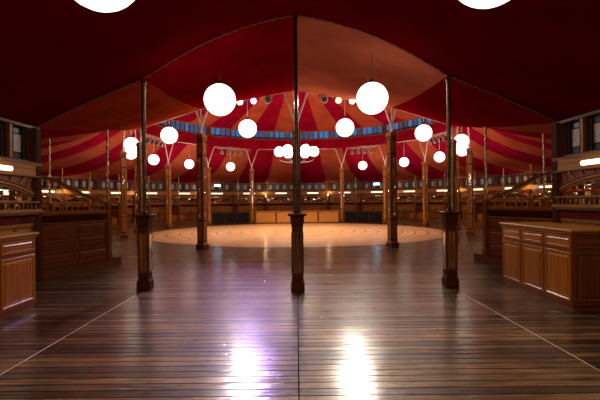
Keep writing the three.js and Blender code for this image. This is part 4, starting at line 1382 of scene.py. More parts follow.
def gore_place(bay, sag, fold):
    """Points of one stripe between two bay lines, from the wall (v = 0) to the ring."""
    def place(u, v):
        radius, height = smooth_curve(SAG_POINTS, v)
        ends = []
        for line in (bay, bay + 1):
            pull = (RING - ring_reach(RING, line)) * v ** 3
            ends.append(polar(radius - pull, line))
        point = ends[0] * (1 - u) + ends[1] * u
        belly = 4 * u * (1 - u)
        body = sin(pi * min(v * 1.15, 1.0))
        folds = fold * sin(5 * pi * u + bay) * (0.3 + body) * belly
        scallop = 0.05 * belly * (1 - v) ** 8
        return (point.x, point.y, height - sag * belly * body - scallop + folds)
    return place


slope = sum(dist(a, b) for a, b in zip(SAG_POINTS, SAG_POINTS[1:]))
print("a stripe runs", round(slope, 2), "m from the wall to the ring")

# %% [markdown]
# The lining alternates crimson and ochre, one stripe a bay. It starts at the foyer's corner
# posts, leaves the entrance free, and its lower edge is bound in cream where it meets the wall.


# %% Striped lining of the hall
def on_edge(near, far, radius):
    """Where a straight edge is at a distance from the middle: its bay, height and share."""
    low, high = 0.0, 1.0
    for _ in range(24):
        t = (low + high) / 2
        point = near.lerp(far, t)
        if point.xy.length > radius:
            low = t
        else:
            high = t
    return atan2(point.x, -point.y) / STEP, point.z, t


def entrance_edge(v):
    """Where the striped lining stops beside the entrance: its bay and height, v as in a stripe."""
    radius, _ = smooth_curve(SAG_POINTS, v)
    bay, height, t = on_edge(polar(CORNER_REACH, 2, EAVE), polar(RING, 4, UPRIGHTS[4]), radius)
    return bay, height - 0.07 * sin(pi * t)


def stripe(form, trim, bay, sag=0.10, fold=0.012):
    """One stripe and the binding of its lower edge. Beside the entrance it meets that cloth."""
    place = gore_place(bay, sag, fold)
    mirrored_side = bay > 16
    first = min(bay, BAYS - 1 - bay)
    if first < 4:
        whole = place

        def place(u, v):
            edge, height = entrance_edge(v)
            share = 1 - u if mirrored_side else u
            spot = max(min(edge, first + 1) - first, 0.0)
            at = spot + (1 - spot) * share
            x, y, z = whole(1 - at if mirrored_side else at, v)
            if edge < first + 1:
                own = whole(1 - spot if mirrored_side else spot, v)[2]
                z += (height - own) * (1 - share) ** 2 if edge >= first else 0.0
            return (x, y, z)
    grid(form, 10, 24, place, (bay + 1) % 2)
    edge = [place(k / 8, 0) for k in range(9)]
    trim.sweep([(x * 0.999, y * 0.999, z) for x, y, z in edge], 0.011, 5)


HALVES = (("right", FIRST_BAY, 16), ("left", 16, LAST_BAY))
trims = Form()
for word, first, last in HALVES:
    lining = Form()
    for bay in range(first, last):
        stripe(lining, trims, bay)
    hang(lining, f"striped_lining_{word}", [crimson, ochre], "striped_cloth", [f"lining_{word}"])

# %% [markdown]
# Over the entrance four panels, orange and dark red in turn, bridge from the foyer's ridge and
# poles up to the ring. Each is a grid between two edges that bellies in the middle, with fine
# creases that fade towards its edges.

# %% Entrance cloth
POLE_RING = 13.4
RIDGE_HEIGHT = 4.58
JUNCTION = [Vector((0, -POLE_RING, RIDGE_HEIGHT)), polar(POLE_RING, 1, 3.62),
            polar(CORNER_REACH, 2, EAVE)]
RING_EDGE = [polar(RING, bay, UPRIGHTS[bay]) for bay in (0, 2, 4)]
BOW = [0.17, 0.02]  # how far each panel's laced edge rises above a straight line


def mirrored(point, side):
    """The same point on the other side of the axis."""
    return Vector((side * point[0], point[1], point[2]))


def junction_at(panel, t, side):
    """A point on the laced edge: panel 0 from ridge to pole, panel 1 from pole to corner."""
    point = JUNCTION[panel].lerp(JUNCTION[panel + 1], t)
    point.z += BOW[panel] * sin(pi * t)
    return mirrored(point, side)


def both_slopes(u):
    """Where u, from 0 to 1, meets the laced edge across both slopes: panel, share and side."""
    across = abs(u - 0.5) * 4
    panel = 1 if across > 1 else 0
    return panel, across - panel, 1 if u >= 0.5 else -1


def entrance_panel(name, panel, side, finish, replaces):
    """One cloth panel between the laced edge and the ring posts."""
    def place(u, v):
        outer = junction_at(panel, u, side)
        inner = mirrored(RING_EDGE[panel].lerp(RING_EDGE[panel + 1], u), side)
        point = outer.lerp(inner, v)
        belly = sin(pi * v) * (0.35 + 0.65 * 4 * u * (1 - u))
        creases = 0.011 * sin(7 * pi * u + 4 * v) + 0.005 * sin(19 * pi * u - 3 * v)
        sweep_folds = 0.012 * sin(26 * v + 6 * u) * (1 - u) ** 2 if panel else 0.0
        point.z -= 0.2 * belly - (creases + sweep_folds) * sin(pi * v)
        return tuple(point)
    form = Form()
    grid(form, 44, 40, place)
    hang(form, name, [finish], "foyer_cloth", replaces)
    trims.sweep([place(k / 10, 1) for k in range(11)], 0.014, 6)


# This panel takes the darker copy of the ochre, as painted shade.
entrance_panel("entrance_cloth_1", 1, -1, shaded_ochre, ["entrance_lining"])
entrance_panel("entrance_cloth_2", 0, -1, maroon, [])
# This panel takes the lighter copy of the ochre, as painted light.
entrance_panel("entrance_cloth_3", 0, 1, lit_ochre, [])
entrance_panel("entrance_cloth_4", 1, 1, maroon, [])

# %% [markdown]
# The foyer's own lining is one dark red cloth over a ridge, laced to the four panels along the
# poles. It is one grid across both slopes, so that no seam shows where there is none.


# %% Foyer cloth
def foyer_place(u, v):
    """The foyer's cloth from its front wall (v = 0) to the laced edge, u across both slopes."""
    panel, t, side = both_slopes(u)
    end = junction_at(panel, t, side)
    start_y = FOYER_FRONT + 0.01
    sag = 0.06 * sin(pi * v) * 4 * t * (1 - t)
    ripple = 0.008 * sin(9 * pi * v)
    return (end.x, start_y + (end.y - start_y) * v, end.z - sag + ripple * sin(pi * v))


foyer_cloth = Form()
grid(foyer_cloth, 32, 30, foyer_place)
# The foyer's cloth takes the darker copy of maroon, as painted shade.
hang(foyer_cloth, "foyer_cloth", [shaded_foyer_red], "foyer_cloth", ["foyer_lining"])
trims.make("cloth_bindings", [rope], "striped_cloth")

# %% [markdown]
# Rope laces the two cloths together along the poles: one rope follows the edge, another winds
# round it. A winding is a curve round a curve, so it is swept along points that circle the edge.

# %% Lacing rope
LACE_PITCH = 0.16
lacing = Form()
for side in (-1, 1):
    run_line = [junction_at(0, k / 24, side) for k in range(25)]
    run_line += [junction_at(1, k / 24, side) for k in range(1, 25)]
    lacing.sweep([(p.x, p.y - 0.01, p.z - 0.012) for p in run_line], 0.009, 6)
    total = sum((b - a).length for a, b in zip(run_line, run_line[1:]))
    turns = round(total / LACE_PITCH)
    winding = []
    for k in range(turns * 6 + 1):
        share = k / (turns * 6) * (len(run_line) - 1)
        i = min(int(share), len(run_line) - 2)
        point = run_line[i].lerp(run_line[i + 1], share - i)
        angle = 2 * pi * k / 6
        y = point.y - 0.01 + 0.04 * sin(angle)
        z = point.z - 0.014 + 0.016 * cos(angle)
        winding.append((point.x, y, z))
    lacing.sweep(winding, 0.004, 4)
lacing.make("lacing_rope", [dark_rope], "foyer_cloth")

# %% [markdown]
# Above the ring a dark red valance hangs below a band of small blue windows. The windows are
# lit by the evening outside, so their panes glow a little, each with its own tint. Each side
# of the ring is built flat and then turned to its place.

# %% Valance and blue windows
CLERESTORY_IN = RING - 0.045
CLERESTORY_LOW = 5.6
CLERESTORY_HIGH = 6.16
VALANCE_DROP = 0.62


def ring_point(radius, bay, height):
    """A point on the 16-sided ring at any bay."""
    return polar(ring_reach(radius, bay), bay, height)


for word, first in (("right", 0), ("left", 16)):
    form = Form()

    def valance_place(u, v, first=first):
        bay = first + 16 * u
        fold = 0.012 * sin(bay * 14)
        height = CLERESTORY_LOW - VALANCE_DROP * v - 0.03 * abs(sin(pi * bay))
        return tuple(ring_point(CLERESTORY_IN - 0.035 + fold * v, bay, height))
    grid(form, 224, 5, valance_place)
    hang(form, f"valance_{word}", [crimson], "striped_cloth", [])

mullions = Form()
panes = Form()
for side in ring_sides:
    bay_form = Form()
    pane_form = Form()
    reach = CLERESTORY_IN * cos(STEP)
    for j in range(9):
        x = (j - 4) * 0.35
        half = 0.06 if j % 4 == 0 else 0.03
        heights = (CLERESTORY_LOW, CLERESTORY_HIGH)
        bay_form.block(about(x, half), (reach - 0.02, reach + 0.04), heights, BROWN, ease=0.006)
        if j < 8:
            start, end = (x + 0.03, reach + 0.01), (x + 0.32, reach + 0.01)
            low = CLERESTORY_LOW + 0.08 + 0.05 * ((3 * j + side) % 3)
            pane_form.panel(start, end, (low, 6.12), [(0, 0), (0.012, 0.004)])
    for z in (CLERESTORY_LOW, CLERESTORY_HIGH - 0.01):
        bay_form.block((-1.5, 1.5), (reach - 0.03, reach + 0.01), about(z, 0.03), HONEY, ease=0.006)
    mullions.repeat(bay_form, [at_bay(side)])
    panes.repeat(pane_form, [at_bay(side)])
mullions.make("clerestory_mullions", post_finishes, "band_wood")
panes.make("blue_panes", [blue_light], "window_panes")

# %% [markdown]
# Over the windows the cupola's lining gathers 32 stripes to the top. It is lit from below by
# the globes, so its folds matter: each stripe bellies between its seams.

# %% Cupola lining
CUPOLA_POINTS = [(7.76, 6.2), (5.2, 6.88), (2.6, 7.62), (0.08, 8.5)]


def cupola_place(bay):
    """Points of one cupola stripe from the ring to the top."""
    def place(u, v):
        radius, height = smooth_curve(CUPOLA_POINTS, v)
        b = bay + u
        belly = 4 * u * (1 - u)
        shape = ring_reach(radius, b) * (1 - v) + radius * cos(STEP) * v
        return tuple(polar(shape, b, height - 0.05 * belly * sin(pi * v) - 0.03 * belly * (1 - v)))
    return place


form = Form()
for bay in range(BAYS):
    grid(form, 6, 20, cupola_place(bay), (bay + 1) % 2)
hang(form, "cupola_cloth", [crimson, ochre], "striped_cloth", ["cupola_lining"])

# %% [markdown]
# A chandelier of six globes hangs in the middle, and four more globes hang in the foyer. They
# are opal glass on bronze fittings. Their light comes later, from lamps at the same points.

# %% Chandelier and foyer lamps
CHANDELIER_HEIGHT = 3.9
CHANDELIER_REACH = 0.85
CHANDELIER_GLOBE = 0.25
CHANDELIER_ARM = 3.4
chandelier_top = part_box("chandelier")[1].z - FLOOR
fitting = Form()
hub = [(0.01, -0.13), (0.045, -0.11), (0.03, -0.07), (0.085, 0.0), (0.09, 0.03), (0.04, 0.09),
       (0.025, 0.2), (0.016, 0.22)]
fitting.turned([(r, CHANDELIER_ARM + h) for r, h in hub], 16)
fitting.turned([(0.014, CHANDELIER_ARM + 0.2), (0.014, chandelier_top)], 8)
chandelier_globes = []
for k in range(6):
    bay = BAYS / 6 * (k + 0.5)
    bend = ((0.05, 0.0), (0.3, -0.03), (0.6, 0.0), (0.8, 0.07), (0.85, 0.14), (0.85, 0.26))
    arm = [polar(reach, bay, CHANDELIER_ARM + rise) for reach, rise in bend]
    fitting.sweep([smooth_curve(arm, s / 14) for s in range(15)], 0.013, 8)
    x, y, z = polar(CHANDELIER_REACH, bay, CHANDELIER_HEIGHT)
    low = z - CHANDELIER_GLOBE
    cup = [(0.02, low - 0.05), (0.07, low - 0.005), (0.075, low + 0.01), (0.06, low + 0.03)]
    fitting.turned(cup, 14, (x, y))
    chandelier_globes.append((x, y, z))
fitting.make("chandelier_fitting", [bronze], "lamp_fittings", ["chandelier"])
globes = Form()
for centre in chandelier_globes:
    globes.ball(centre, CHANDELIER_GLOBE)
globes.make("chandelier_globes", [opal], "lamp_glass")

foyer_globes = []
lamps = Form()
for k in range(4):
    low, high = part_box(f"foyer_lamp_{k + 1}")
    x, y, z = (low.x + high.x) / 2, (low.y + high.y) / 2, low.z - FLOOR + GLOBE
    foyer_globes.append((x, y, z))
    lamps.ball((x, y, z), GLOBE, 0, 28, 16)
    top = z + GLOBE
    lamps.turned([(0.06, top - 0.02), (0.07, top + 0.01), (0.02, top + 0.06)], 14, (x, y), 1)
    lamps.turned([(0.006, top + 0.05), (0.006, high.z - FLOOR)], 6, (x, y), 1)
lamps.make("foyer_lamps", [opal, bronze], "lamp_glass", [f"foyer_lamp_{k + 1}" for k in range(4)])

# %% [markdown]
# Where foyer and hall meet, slim dark poles stand on panelled pedestals. Each face of a
# pedestal is framed round two strips of mirror, and it widens in a neck below a thin cap.

# %% Entry poles
POLE_FINISHES = [dark, brown, post_mirror, pole_bronze]


def pedestal(form, x, y, pole_top):
    """A panelled pedestal with a pole, at a place in plan."""
    block = Form()
    block.square(0.112, (0.0, 0.165), 0, 0.01)
    block.square(0.1, (0.165, 0.19), 0, 0.01)
    block.square(0.092, (0.19, 1.1), 0, 0.008)
    face = Form()
    face.panel((-0.078, -0.092), (0.078, -0.092), (0.30, 0.98),
               [(0, 0), (0.002, 0.008), (0.012, 0.008), (0.016, 0.001)], 1)
    for side in (-1, 1):
        face.panel((side * 0.03 - 0.022, -0.093), (side * 0.03 + 0.022, -0.093), (0.33, 0.95),
                   [(0, 0), (0.006, 0.004)], 2)
    for turn in QUARTERS:
        block.repeat(face, [turn])
    flare = [(0.094, 1.07), (0.1, 1.1), (0.1, 1.12), (0.11, 1.14), (0.112, 1.24), (0.125, 1.25)]
    block.turned([(sqrt(2) * r, z) for r, z in flare], 4, smooth=False, turn=0.5)
    block.square(0.152, (1.25, 1.29), 0, 0.009)
    form.repeat(block, [Matrix.Translation((x, y, 0))])
    pole = [(0.055, 1.288), (0.055, 1.31), (0.04, 1.33), (0.034, 1.36), (0.034, pole_top - 0.1),
            (0.043, pole_top - 0.06), (0.043, pole_top - 0.01)]
    form.turned(pole, 16, (x, y), 3)


for name, bay in (("middle", 0), ("right", 1), ("left", -1)):
    form = Form()
    place = polar(POLE_RING, bay)
    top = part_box(f"entry_pole_{name}")[1].z - FLOOR
    pedestal(form, place.x, place.y, top)
    form.make(f"pedestal_{name}", POLE_FINISHES, "dark_wood", [f"entry_pole_{name}"])

# %% [markdown]
# The counters are cabinets: a drawer panel over a door panel in every bay, under a thick top.
# The far counter between the ring posts is plain and pale. Two low screens beside it have a
# framed dark panel.

# %% Counters and screens
COUNTER_STEPS = [(0, 0), (0.004, 0.010), (0.022, 0.010), (0.032, 0.007), (0.038, 0.001), (0.05, 0.001),
                 (0.075, 0.010)]
LIP = 0.04


def cabinet(form, x, y, high, bays, front):
    """A panelled cabinet. front is the side with doors: -1 faces -X, 1 faces +X, 0 faces -Y."""
    body = high - 0.04
    form.block(x, y, (0.06, body), BROWN)
    for grow, heights, finish, ease in (
            (-0.02, (0.0, 0.06), BROWN, 0), (LIP, (body, high), PALE, 0.012),
            (0.02, (body - 0.03, body), HONEY, 0.008)):
        form.block((x[0] - grow, x[1] + grow), (y[0] - grow, y[1] + grow), heights, finish, ease)
    corners = {"near": ((x[0], y[0]), (x[1], y[0])), "right": ((x[1], y[0]), (x[1], y[1])),
               "far": ((x[1], y[1]), (x[0], y[1])), "left": ((x[0], y[1]), (x[0], y[0]))}
    doors = {-1: "left", 1: "right", 0: "near"}[front]
    for name, (start, end) in corners.items():
        # The door side gets honey panels and the other sides darker brown: painted shade for the sides
        # that stand out of the light.
        finish = HONEY if name == doors else BROWN
        start, end = Vector(start), Vector(end)
        long = (end - start).length
        count = bays if name == doors else max(1, round(long / 0.7))
        way = (end - start) / count
        for k in range(count):
            a, b = start + way * k, start + way * (k + 1)
            a, b = a.lerp(b, 0.045), b.lerp(a, 0.045)
            if high > 1.0:
                drawer = COUNTER_STEPS[:5] + [(0.05, 0.008)]
                form.panel(a, b, (0.82, body - 0.05), drawer, finish, run=0)
                form.panel(a, b, (0.11, 0.77), COUNTER_STEPS, finish, run=2)
            else:
                form.panel(a, b, (0.08, body - 0.05), [(0, 0), (0.003, 0.008)], PALE, run=0)


for name, bays, front in (
        ("bar_counter_right", 3, -1), ("bar_counter_left", 3, 1), ("far_counter", 4, 0)):
    low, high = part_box(name)
    form = Form()
    x, y = (low.x + LIP, high.x - LIP), (low.y + LIP, high.y - LIP)
    cabinet(form, x, y, high.z - FLOOR, bays, front)
    form.make(name + "_joinery", booth_finishes, "counter_wood", [name])

for word, bay in (("left", 19), ("right", 13)):
    low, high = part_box(f"low_screen_{word}")
    tall = high.z - FLOOR
    form = Form()
    form.block((-1.3, 1.3), (-0.022, 0.022), (0.04, tall - 0.04), 0)
    for z in ((0.0, 0.08), (tall - 0.06, tall)):
        form.block((-1.3, 1.3), (-0.03, 0.03), z, 1, ease=0.006)
    for x in (-1.26, -0.42, 0.42, 1.26):
        form.block(about(x, 0.03), (-0.03, 0.03), (0.0, tall), 1, ease=0.006)
    placed = Form()
    placed.repeat(form, [at_bay(bay, RING_REACH)])
    placed.make(f"low_screen_{word}_frame", [black, dark], "dark_wood", [f"low_screen_{word}"])

# %% [markdown]
# Stage lamps hang on short bars under some of the arches, and four of them are lit. Each is a
# can with a lens at one end, on a yoke, built upright and then laid over. Two small lit signs
# without lettering hang on the far wall.

# %% Stage lamps and signs
white_lens = glowing("white_lens", (1.0, 0.93, 0.82), 12.0)
violet_lens = glowing("violet_lens", (0.62, 0.42, 1.0), 3.2)
dark_lens = mottled("dark_lens", (0.05,) * 3, (0.2,) * 3, 0.08)
orange_lens = glowing("orange_lens", (1.0, 0.66, 0.36), 2.2)
spot_finishes = [black, steel, white_lens, violet_lens, dark_lens, orange_lens]
CAN, FITTING, LENS_WHITE, LENS_VIOLET, LENS_DARK, LENS_ORANGE = range(6)
BAR_RISE = 0.24  # from a lamp's middle up to its bar


def stage_lamp(form, x, z, lens, aim_y, tilt=0.35):
    """A can on a yoke under a bar, its lens towards +Y or -Y and a little down."""
    can = Form()
    shell = [(0.06, -0.15), (0.09, -0.11), (0.095, 0.10), (0.108, 0.115), (0.108, 0.13)]
    can.turned(shell, 16, finish=CAN)
    can.turned([(0.112, 0.11), (0.112, 0.135), (0.1, 0.137)], 16, finish=FITTING)
    can.turned([(0.092, 0.13), (0.092, 0.139), (0.05, 0.147)], 16, finish=lens)
    lay = Matrix.Rotation(-aim_y * (pi / 2 + tilt), 4, "X")
    form.repeat(can, [Matrix.Translation((x, 0, z)) @ lay])
    yoke = [(-0.09, 0.0), (-0.09, 0.13), (0.0, 0.16), (0.09, 0.13), (0.09, 0.0)]
    form.sweep([(x + across, 0, z + up) for across, up in yoke], 0.008, 5, FITTING)
    form.sweep([(x, 0, z + 0.15), (x, 0, z + BAR_RISE)], 0.012, 6, FITTING)


def lamp_bar(bay, height, lenses, aim_y):
    """A bar with four stage lamps between two ring posts."""
    form = Form()
    half = 0.95
    form.sweep([(-half, 0, height + BAR_RISE), (half, 0, height + BAR_RISE)], 0.02, 8, FITTING)
    for k, lens in enumerate(lenses):
        stage_lamp(form, -0.66 + 0.44 * k, height, lens, aim_y)
    for x in (-0.8, 0.8):
        form.sweep([(x, 0, height + BAR_RISE), (x, 0, ARCH_TOP)], 0.01, 6, FITTING)
    return form, at_bay(bay, RING_REACH - 0.06)


stage_lamps = Form()
bars = [(31, 4.6, (LENS_DARK, LENS_VIOLET, LENS_WHITE, LENS_DARK), 1),
        (1, 4.6, (LENS_DARK, LENS_WHITE, LENS_ORANGE, LENS_DARK), 1)]
bars += [(bay, 4.62, (LENS_DARK,) * 4, -1) for bay in (9, 13, 19, 23)]
for bay, height, lenses, aim_y in bars:
    form, place = lamp_bar(bay, height, lenses, aim_y)
    stage_lamps.repeat(form, [place])
stage_lamps.make("stage_lamps", spot_finishes, "lamp_fittings")

SIGN_HEIGHT = 2.72
signs = Form()
for bay in (13.5, 18.5):
    box = Form()
    box.block((-0.26, 0.26), (-0.16, -0.09), about(SIGN_HEIGHT, 0.1), 1, ease=0.01)
    lit = about(SIGN_HEIGHT, 0.075)
    box.panel((-0.235, -0.16), (0.235, -0.16), lit, [(0, 0), (0.004, 0.005)])
    signs.repeat(box, [at_bay(bay, WALL_FACE)])
signs.make("lit_signs", [exit_light, black], "lamp_fittings")

# %% [markdown]
# The outer canvas is stretched over the frame in the same bays as the lining, so it gets the
# same kind of sheet, pulled tighter. Ropes bind the eaves and cover the seams. Beside the
# entrance the canvas is cut along a slanting edge.

# %% Outer canvas of the hall
ROOF_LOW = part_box("outer_roof_right")[0].z - FLOOR + 0.045
ROOF_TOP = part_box("outer_roof_right")[1].z - FLOOR
ROOF_EAVE = 13.46
ROOF_RING = RING + 0.05
ROOF_LAP = 0.05  # how far it tucks under the entrance's canvas, in bays


def roof_place(bay):
    """One bay of the outer canvas from the eave (v = 0) up to the ring."""
    def place(u, v):
        radius = ROOF_EAVE + (ROOF_RING - ROOF_EAVE) * v
        point = polar(radius, bay).lerp(polar(radius, bay + 1), u)
        if v == 1:
            point = ring_point(ROOF_RING, bay + u, 0)
        height = ROOF_LOW + (ROOF_TOP - ROOF_LOW) * v
        belly = 0.035 * 4 * u * (1 - u) * sin(pi * min(1.0, v + 0.15))
        sag = belly + 0.05 * sin(pi * v)
        return (point.x, point.y, height - sag)
    return place


def stretch(form, name, node):
    """Makes a canvas that is stretched over the frame."""
    hang(form, name, [canvas], "roof_canvas", [node])


def cut_place(bay):
    """A bay beside the entrance, cut along the slanting edge."""
    def place(u, v):
        radius = ROOF_EAVE + (ROOF_RING - ROOF_EAVE) * v
        edge = on_edge(polar(ROOF_EAVE, 2), polar(ROOF_RING, 4), radius)[0] - ROOF_LAP
        b = min(bay + u, BAYS - edge) if bay > 16 else max(bay + u, edge)
        return roof_place(bay)(min(max(b, bay), bay + 1) - bay, v)
    return place


ropes = Form()
for word, first, last in HALVES:
    form = Form()
    for bay in range(first, last):
        place = roof_place(bay)
        grid(form, 8, 14, cut_place(bay) if bay in (2, 3, 28, 29) else place)
        ropes.sweep([place(k / 4, 0) for k in range(5)], 0.014, 6)
        ropes.sweep([place(0, k / 10) for k in range(11)], 0.012, 5)
    stretch(form, f"roof_canvas_{word}", f"outer_roof_{word}")

# %% [markdown]
# The cupola has a canvas of its own with 16 sides, and a turned finial closes its top. Its
# sheets meet in a point, so each is a grid whose last row is almost closed.

# %% Cupola canvas and finial
CUPOLA_EAVE = 8.15
CUPOLA_EDGE_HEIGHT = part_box("cupola_roof")[0].z - FLOOR + 0.04
CUPOLA_TOP = 9.33
form = Form()
for bay in range(0, BAYS, 2):
    def place(u, v, bay=bay):
        b = bay + 2 * u
        radius = CUPOLA_EAVE * (1 - v) + 0.09 * v
        height = CUPOLA_EDGE_HEIGHT + (CUPOLA_TOP - CUPOLA_EDGE_HEIGHT) * v
        sag = 0.04 * 4 * u * (1 - u) * sin(pi * v) + 0.05 * sin(pi * v)
        return tuple(polar(ring_reach(radius, b), b, height - sag))
    grid(form, 8, 16, place)
    ropes.sweep([place(k / 6, 0) for k in range(7)], 0.016, 6)
    ropes.sweep([place(0, k / 10) for k in range(11)], 0.012, 5)
stretch(form, "cupola_canvas", "cupola_roof")
finial = Form()
profile = [(0.12, 9.3), (0.13, 9.33), (0.06, 9.38), (0.1, 9.46), (0.04, 9.52), (0.07, 9.6),
           (0.02, 9.68), (0.008, 9.715)]
finial.turned(profile, 16)
finial.make("finial", [brass], "lamp_fittings")

# %% [markdown]
# Two more sheets close the roof: one over the foyer's ridge, and one that bridges from it to
# the ring. Both follow straight edges, so their points come from the same lines as inside.

# %% Canvas of foyer and entrance
roof_low, roof_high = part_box("foyer_roof")
RIDGE = 4.82
FOYER_EAVE = roof_high.x
FOYER_EAVE_HEIGHT = roof_low.z - FLOOR + 0.04
FOYER_ROOF_START = roof_low.y


def foyer_roof_place(u, v):
    """The foyer's outer canvas over its ridge."""
    x = (u - 0.5) * 2 * FOYER_EAVE
    share = abs(x) / FOYER_EAVE
    end = -POLE_RING + (POLE_RING - 12.25) * min(1.0, (abs(x) / 5.07) ** 2)
    sag = 0.03 * sin(pi * share) * sin(pi * v)
    height = RIDGE + (FOYER_EAVE_HEIGHT - RIDGE) * share - sag
    return (x, FOYER_ROOF_START + (end - FOYER_ROOF_START) * v, height)


form = Form()
grid(form, 24, 16, foyer_roof_place)
stretch(form, "foyer_canvas", "foyer_roof")


def entrance_roof_place(u, v):
    """The canvas between the foyer's roof and the ring."""
    panel, t, side = both_slopes(u)
    outer = mirrored(JUNCTION[panel].lerp(JUNCTION[panel + 1], t), side)
    outer.z = RIDGE + (FOYER_EAVE_HEIGHT - RIDGE) * abs(outer.x) / FOYER_EAVE
    inner = ring_point(ROOF_RING, side * 2 * (panel + t), ROOF_TOP)
    point = outer.lerp(inner, v)
    point.z -= 0.05 * sin(pi * v)
    return tuple(point)


form = Form()
grid(form, 32, 16, entrance_roof_place)
stretch(form, "entrance_canvas", "entrance_roof")
ropes.make("roof_ropes", [rope], "roof_canvas")

# %% [markdown]
# Outside, the wooden wall repeats what is known from inside: the same bays and windows, with
# framed panels below them. The front wall gets the same panels beside its doorway.

# %% Outer wall joinery
OUTER_FACE = WALL_OUT * FLAT
FRAMED = [(0, 0), (0.004, 0.016), (0.05, 0.016), (0.06, 0.004), (0.09, 0.004), (0.13, 0.012)]


def outer_bay(wide):
    """One bay of the outer wall, made facing -Y at y = 0, with its width given."""
    form = Form()
    half = wide / 2
    form.block((-half, half), (-0.018, 0.0), (0.0, 0.2), 1, ease=0.005)
    form.block((-half, half), (-0.018, 0.0), (2.18, 2.25), 1, ease=0.006)
    form.block((-half, -half + 0.07), (-0.016, 0.0), (0.2, 2.18), 1, ease=0.004)
    form.block((half - 0.07, half), (-0.016, 0.0), (0.2, 2.18), 1, ease=0.004)
    for k in range(3):
        x0 = -half + 0.09 + k * (wide - 0.18) / 3
        x1 = x0 + (wide - 0.18) / 3 - 0.03
        for heights in ((0.24, 1.1), (1.14, 2.14)):
            form.panel((x0, 0), (x1, 0), heights, FRAMED, 0, run=2)
    for k in range(5):
        x = -1.13 + k * 0.565
        form.block(about(x, 0.035), (-0.014, 0.012), (2.28, 2.92), 1, ease=0.004)
    return form


turn_out = Matrix.Rotation(pi, 4, "Z")
outer_template = outer_bay(2 * OUTER_FACE * tan(STEP / 2))
for arc in range(4):
    form = Form()
    own_bays = wall_bays[7 * arc:7 * arc + 7]
    form.repeat(outer_template, [at_bay(bay, OUTER_FACE) @ turn_out for bay in own_bays])
    form.make(f"outer_joinery_{arc + 1}", [brown, honey], "panel_wood")
for side, word in ((1, "right"), (-1, "left")):
    form = Form()
    out = Matrix.Translation((side * 0.12, 0, 0))
    places = [out @ along_foyer(k, side) @ turn_out for k in range(FOYER_BAYS)]
    form.repeat(outer_bay((FOYER_END - FOYER_FRONT) / FOYER_BAYS), places)
    form.make(f"foyer_outer_joinery_{word}", [brown, honey], "panel_wood")

FRONT_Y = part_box("front_wall")[0].y
DOOR_HALF = 1.2
front = Form()
for side in (-1, 1):
    for k in range(5):
        x0 = DOOR_HALF + 0.16 + k * 0.75
        start, end = [(x, FRONT_Y) for x in sorted((side * x0, side * (x0 + 0.7)))]
        for heights in ((0.24, 1.15), (1.2, 2.5)):
            front.panel(start, end, heights, FRAMED, 0, run=2)
    edges = sorted((side * DOOR_HALF, side * (DOOR_HALF + 0.12)))
    front.block(edges, (FRONT_Y - 0.03, FRONT_Y + 0.15), (0.0, 2.45), 1, ease=0.01)
front.block((-1.32, 1.32), (FRONT_Y - 0.03, FRONT_Y + 0.15), (2.45, 2.6), 1, ease=0.01)
front.block((-5.1, 5.1), (FRONT_Y - 0.02, FRONT_Y), (2.7, 2.82), 1, ease=0.006)
front.make("front_joinery", [brown, honey], "panel_wood")

# %% [markdown]
# Light makes this room. The globes' glow alone could do it all, but small bright surfaces make
# a noisy render. So a soft lamp sits in each globe, and the globes throw no shadows. Beams come
# from the lit stage lamps, weak lamps stand for the tubes, and wide dim panels fill the rest.


# %% Lamps and beams
def lamp(kind, name, place, energy, colour, size, aim=None):
    """A lamp at a place above the boards, aimed at a point if it has a direction."""
    data = bpy.data.lights.new(name, kind)
    data.energy = energy
    data.color = colour
    if kind == "AREA":
        data.size = size
    else:
        data.shadow_soft_size = size
    made = show(name, data)
    made.location = (place[0], place[1], place[2] + FLOOR)
    if aim is not None:
        way = Vector(aim) - Vector(place)
        made.rotation_euler = way.to_track_quat("-Z", "Y").to_euler()
    return made


WARM = (1.0, 0.84, 0.68)
for name in ("ring_globes", "chandelier_globes", "foyer_lamps"):
    bpy.data.objects[name].visible_shadow = False
for side in lit_sides:
    lamp("POINT", f"ring_lamp_{side}", polar(RING_REACH, side, RING_GLOBE), 38, WARM, 0.28)
for k, centre in enumerate(chandelier_globes):
    lamp("POINT", f"chandelier_lamp_{k}", centre, 22, WARM, 0.25)
for k, centre in enumerate(foyer_globes):
    lamp("POINT", f"foyer_lamp_light_{k}", centre, 3.2, WARM, 0.28)
for name, x, side, aim, energy, colour, angle in (
        ("white_beam_left", 0.22, 31, (-2.0, -16.0, 0), 650, (1.0, 0.9, 0.75), 62),
        ("violet_beam", -0.22, 31, (-1.7, -12.6, 0), 1700, (0.48, 0.28, 1.0), 48),
        ("white_beam_right", -0.22, 1, (1.2, -16.0, 0), 1100, (1.0, 0.88, 0.72), 62),
        ("orange_beam", 0.22, 1, (0.9, -9.5, 0), 500, (1.0, 0.5, 0.15), 62)):
    place = at_bay(side, RING_REACH + 0.19) @ Vector((x, 0, 4.5))
    made = lamp("SPOT", name, place, energy, colour, 0.06, aim)
    made.data.spot_size = radians(angle)
    made.data.spot_blend = 1.0
for side in range(5, 29, 2):
    place = at_bay(side, WALL_FACE - 0.3) @ Vector((0, 0, 2.1))
    lamp("POINT", f"tube_glow_{side}", place, 9, (1.0, 0.82, 0.5), 0.06)
dance_light = lamp("SPOT", "dance_light", (0, 0, 5.4), 3700, (1.0, 0.87, 0.68), 1.2, (0, 0, 0))
dance_light.data.spot_size = radians(106)
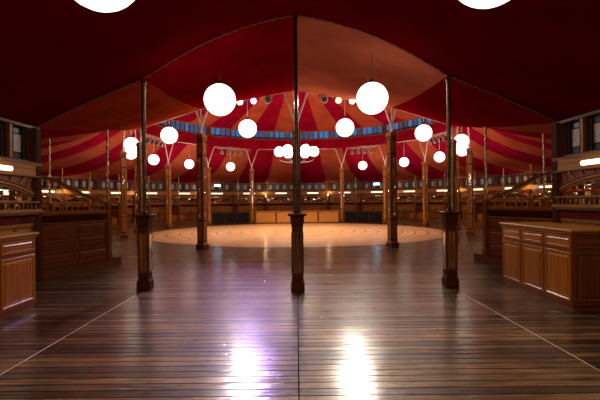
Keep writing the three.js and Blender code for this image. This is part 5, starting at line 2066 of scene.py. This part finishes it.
dance_light.data.spot_blend = 0.25
for name, place, aim, energy, colour, size in (
        ("hall_fill", (0, 0, 4.6), (0, 0, 0), 540, (1.0, 0.78, 0.6), 9.0),
        ("hall_upward", (0, 0, 0.6), (0, 0, 6), 52, (1.0, 0.66, 0.6), 9.0),
        ("foyer_fill", (0, -17.5, 3.3), (0, -17.4, 0), 115, (1.0, 0.77, 0.52), 5.0)):
    made = lamp("AREA", name, place, energy, colour, size, aim)
    made.visible_camera = False
    made.visible_glossy = False
print("lamps", len(bpy.data.lights))

# %% [markdown]
# Outside, a pale sky, a soft sun and a plain ground show the tent as in a studio. Neither sky
# nor ground shows in reflections, so the mirrors in the hall reflect the hall alone.

# %% Sky, sun and ground
GROUND_REACH = 120
sky = bpy.data.worlds.new("sky")
bpy.context.scene.world = sky
sky.use_nodes = True
fill_in(sky.node_tree.nodes["Background"], Color=(0.86, 0.88, 0.92, 1), Strength=0.4)
sky.cycles_visibility.glossy = False
sun = lamp("SUN", "soft_sun", (0, 0, 40), 2.0, (1.0, 0.96, 0.9), 0.4, (12, 20, 0))
sun.data.angle = 0.3

stage = bpy.data.meshes.new("ground")
corners = [(x * GROUND_REACH, y * GROUND_REACH, -0.004) for x, y in ((-1, -1), (1, -1), (1, 1), (-1, 1))]
stage.from_pydata(corners, [], [[0, 1, 2, 3]])
stage.materials.append(plain("pale_floor", (0.62, 0.61, 0.59), 0.8)[0])
ground = show("ground", stage)
ground.visible_glossy = False
print("ground", 2 * GROUND_REACH, "m wide")

# %% [markdown]
# Some measured solids stay in view behind the finer pieces: floor, walls and glass. They get
# their finishes here.

# %% Finish of the solids
walls = [name for name in nodes if "_wall" in name]
for finish, names in (
        (solid_dark, ["floor_deck", "dance_floor"]),
        (solid_brown, ["booth_platform", "clerestory_band", *walls]),
        (leaded, ["window_glass", "foyer_glass_right", "foyer_glass_left"]),
        (blue_glass, ["clerestory_glass"])):
    for name in names:
        nodes[name].data.materials[0] = finish
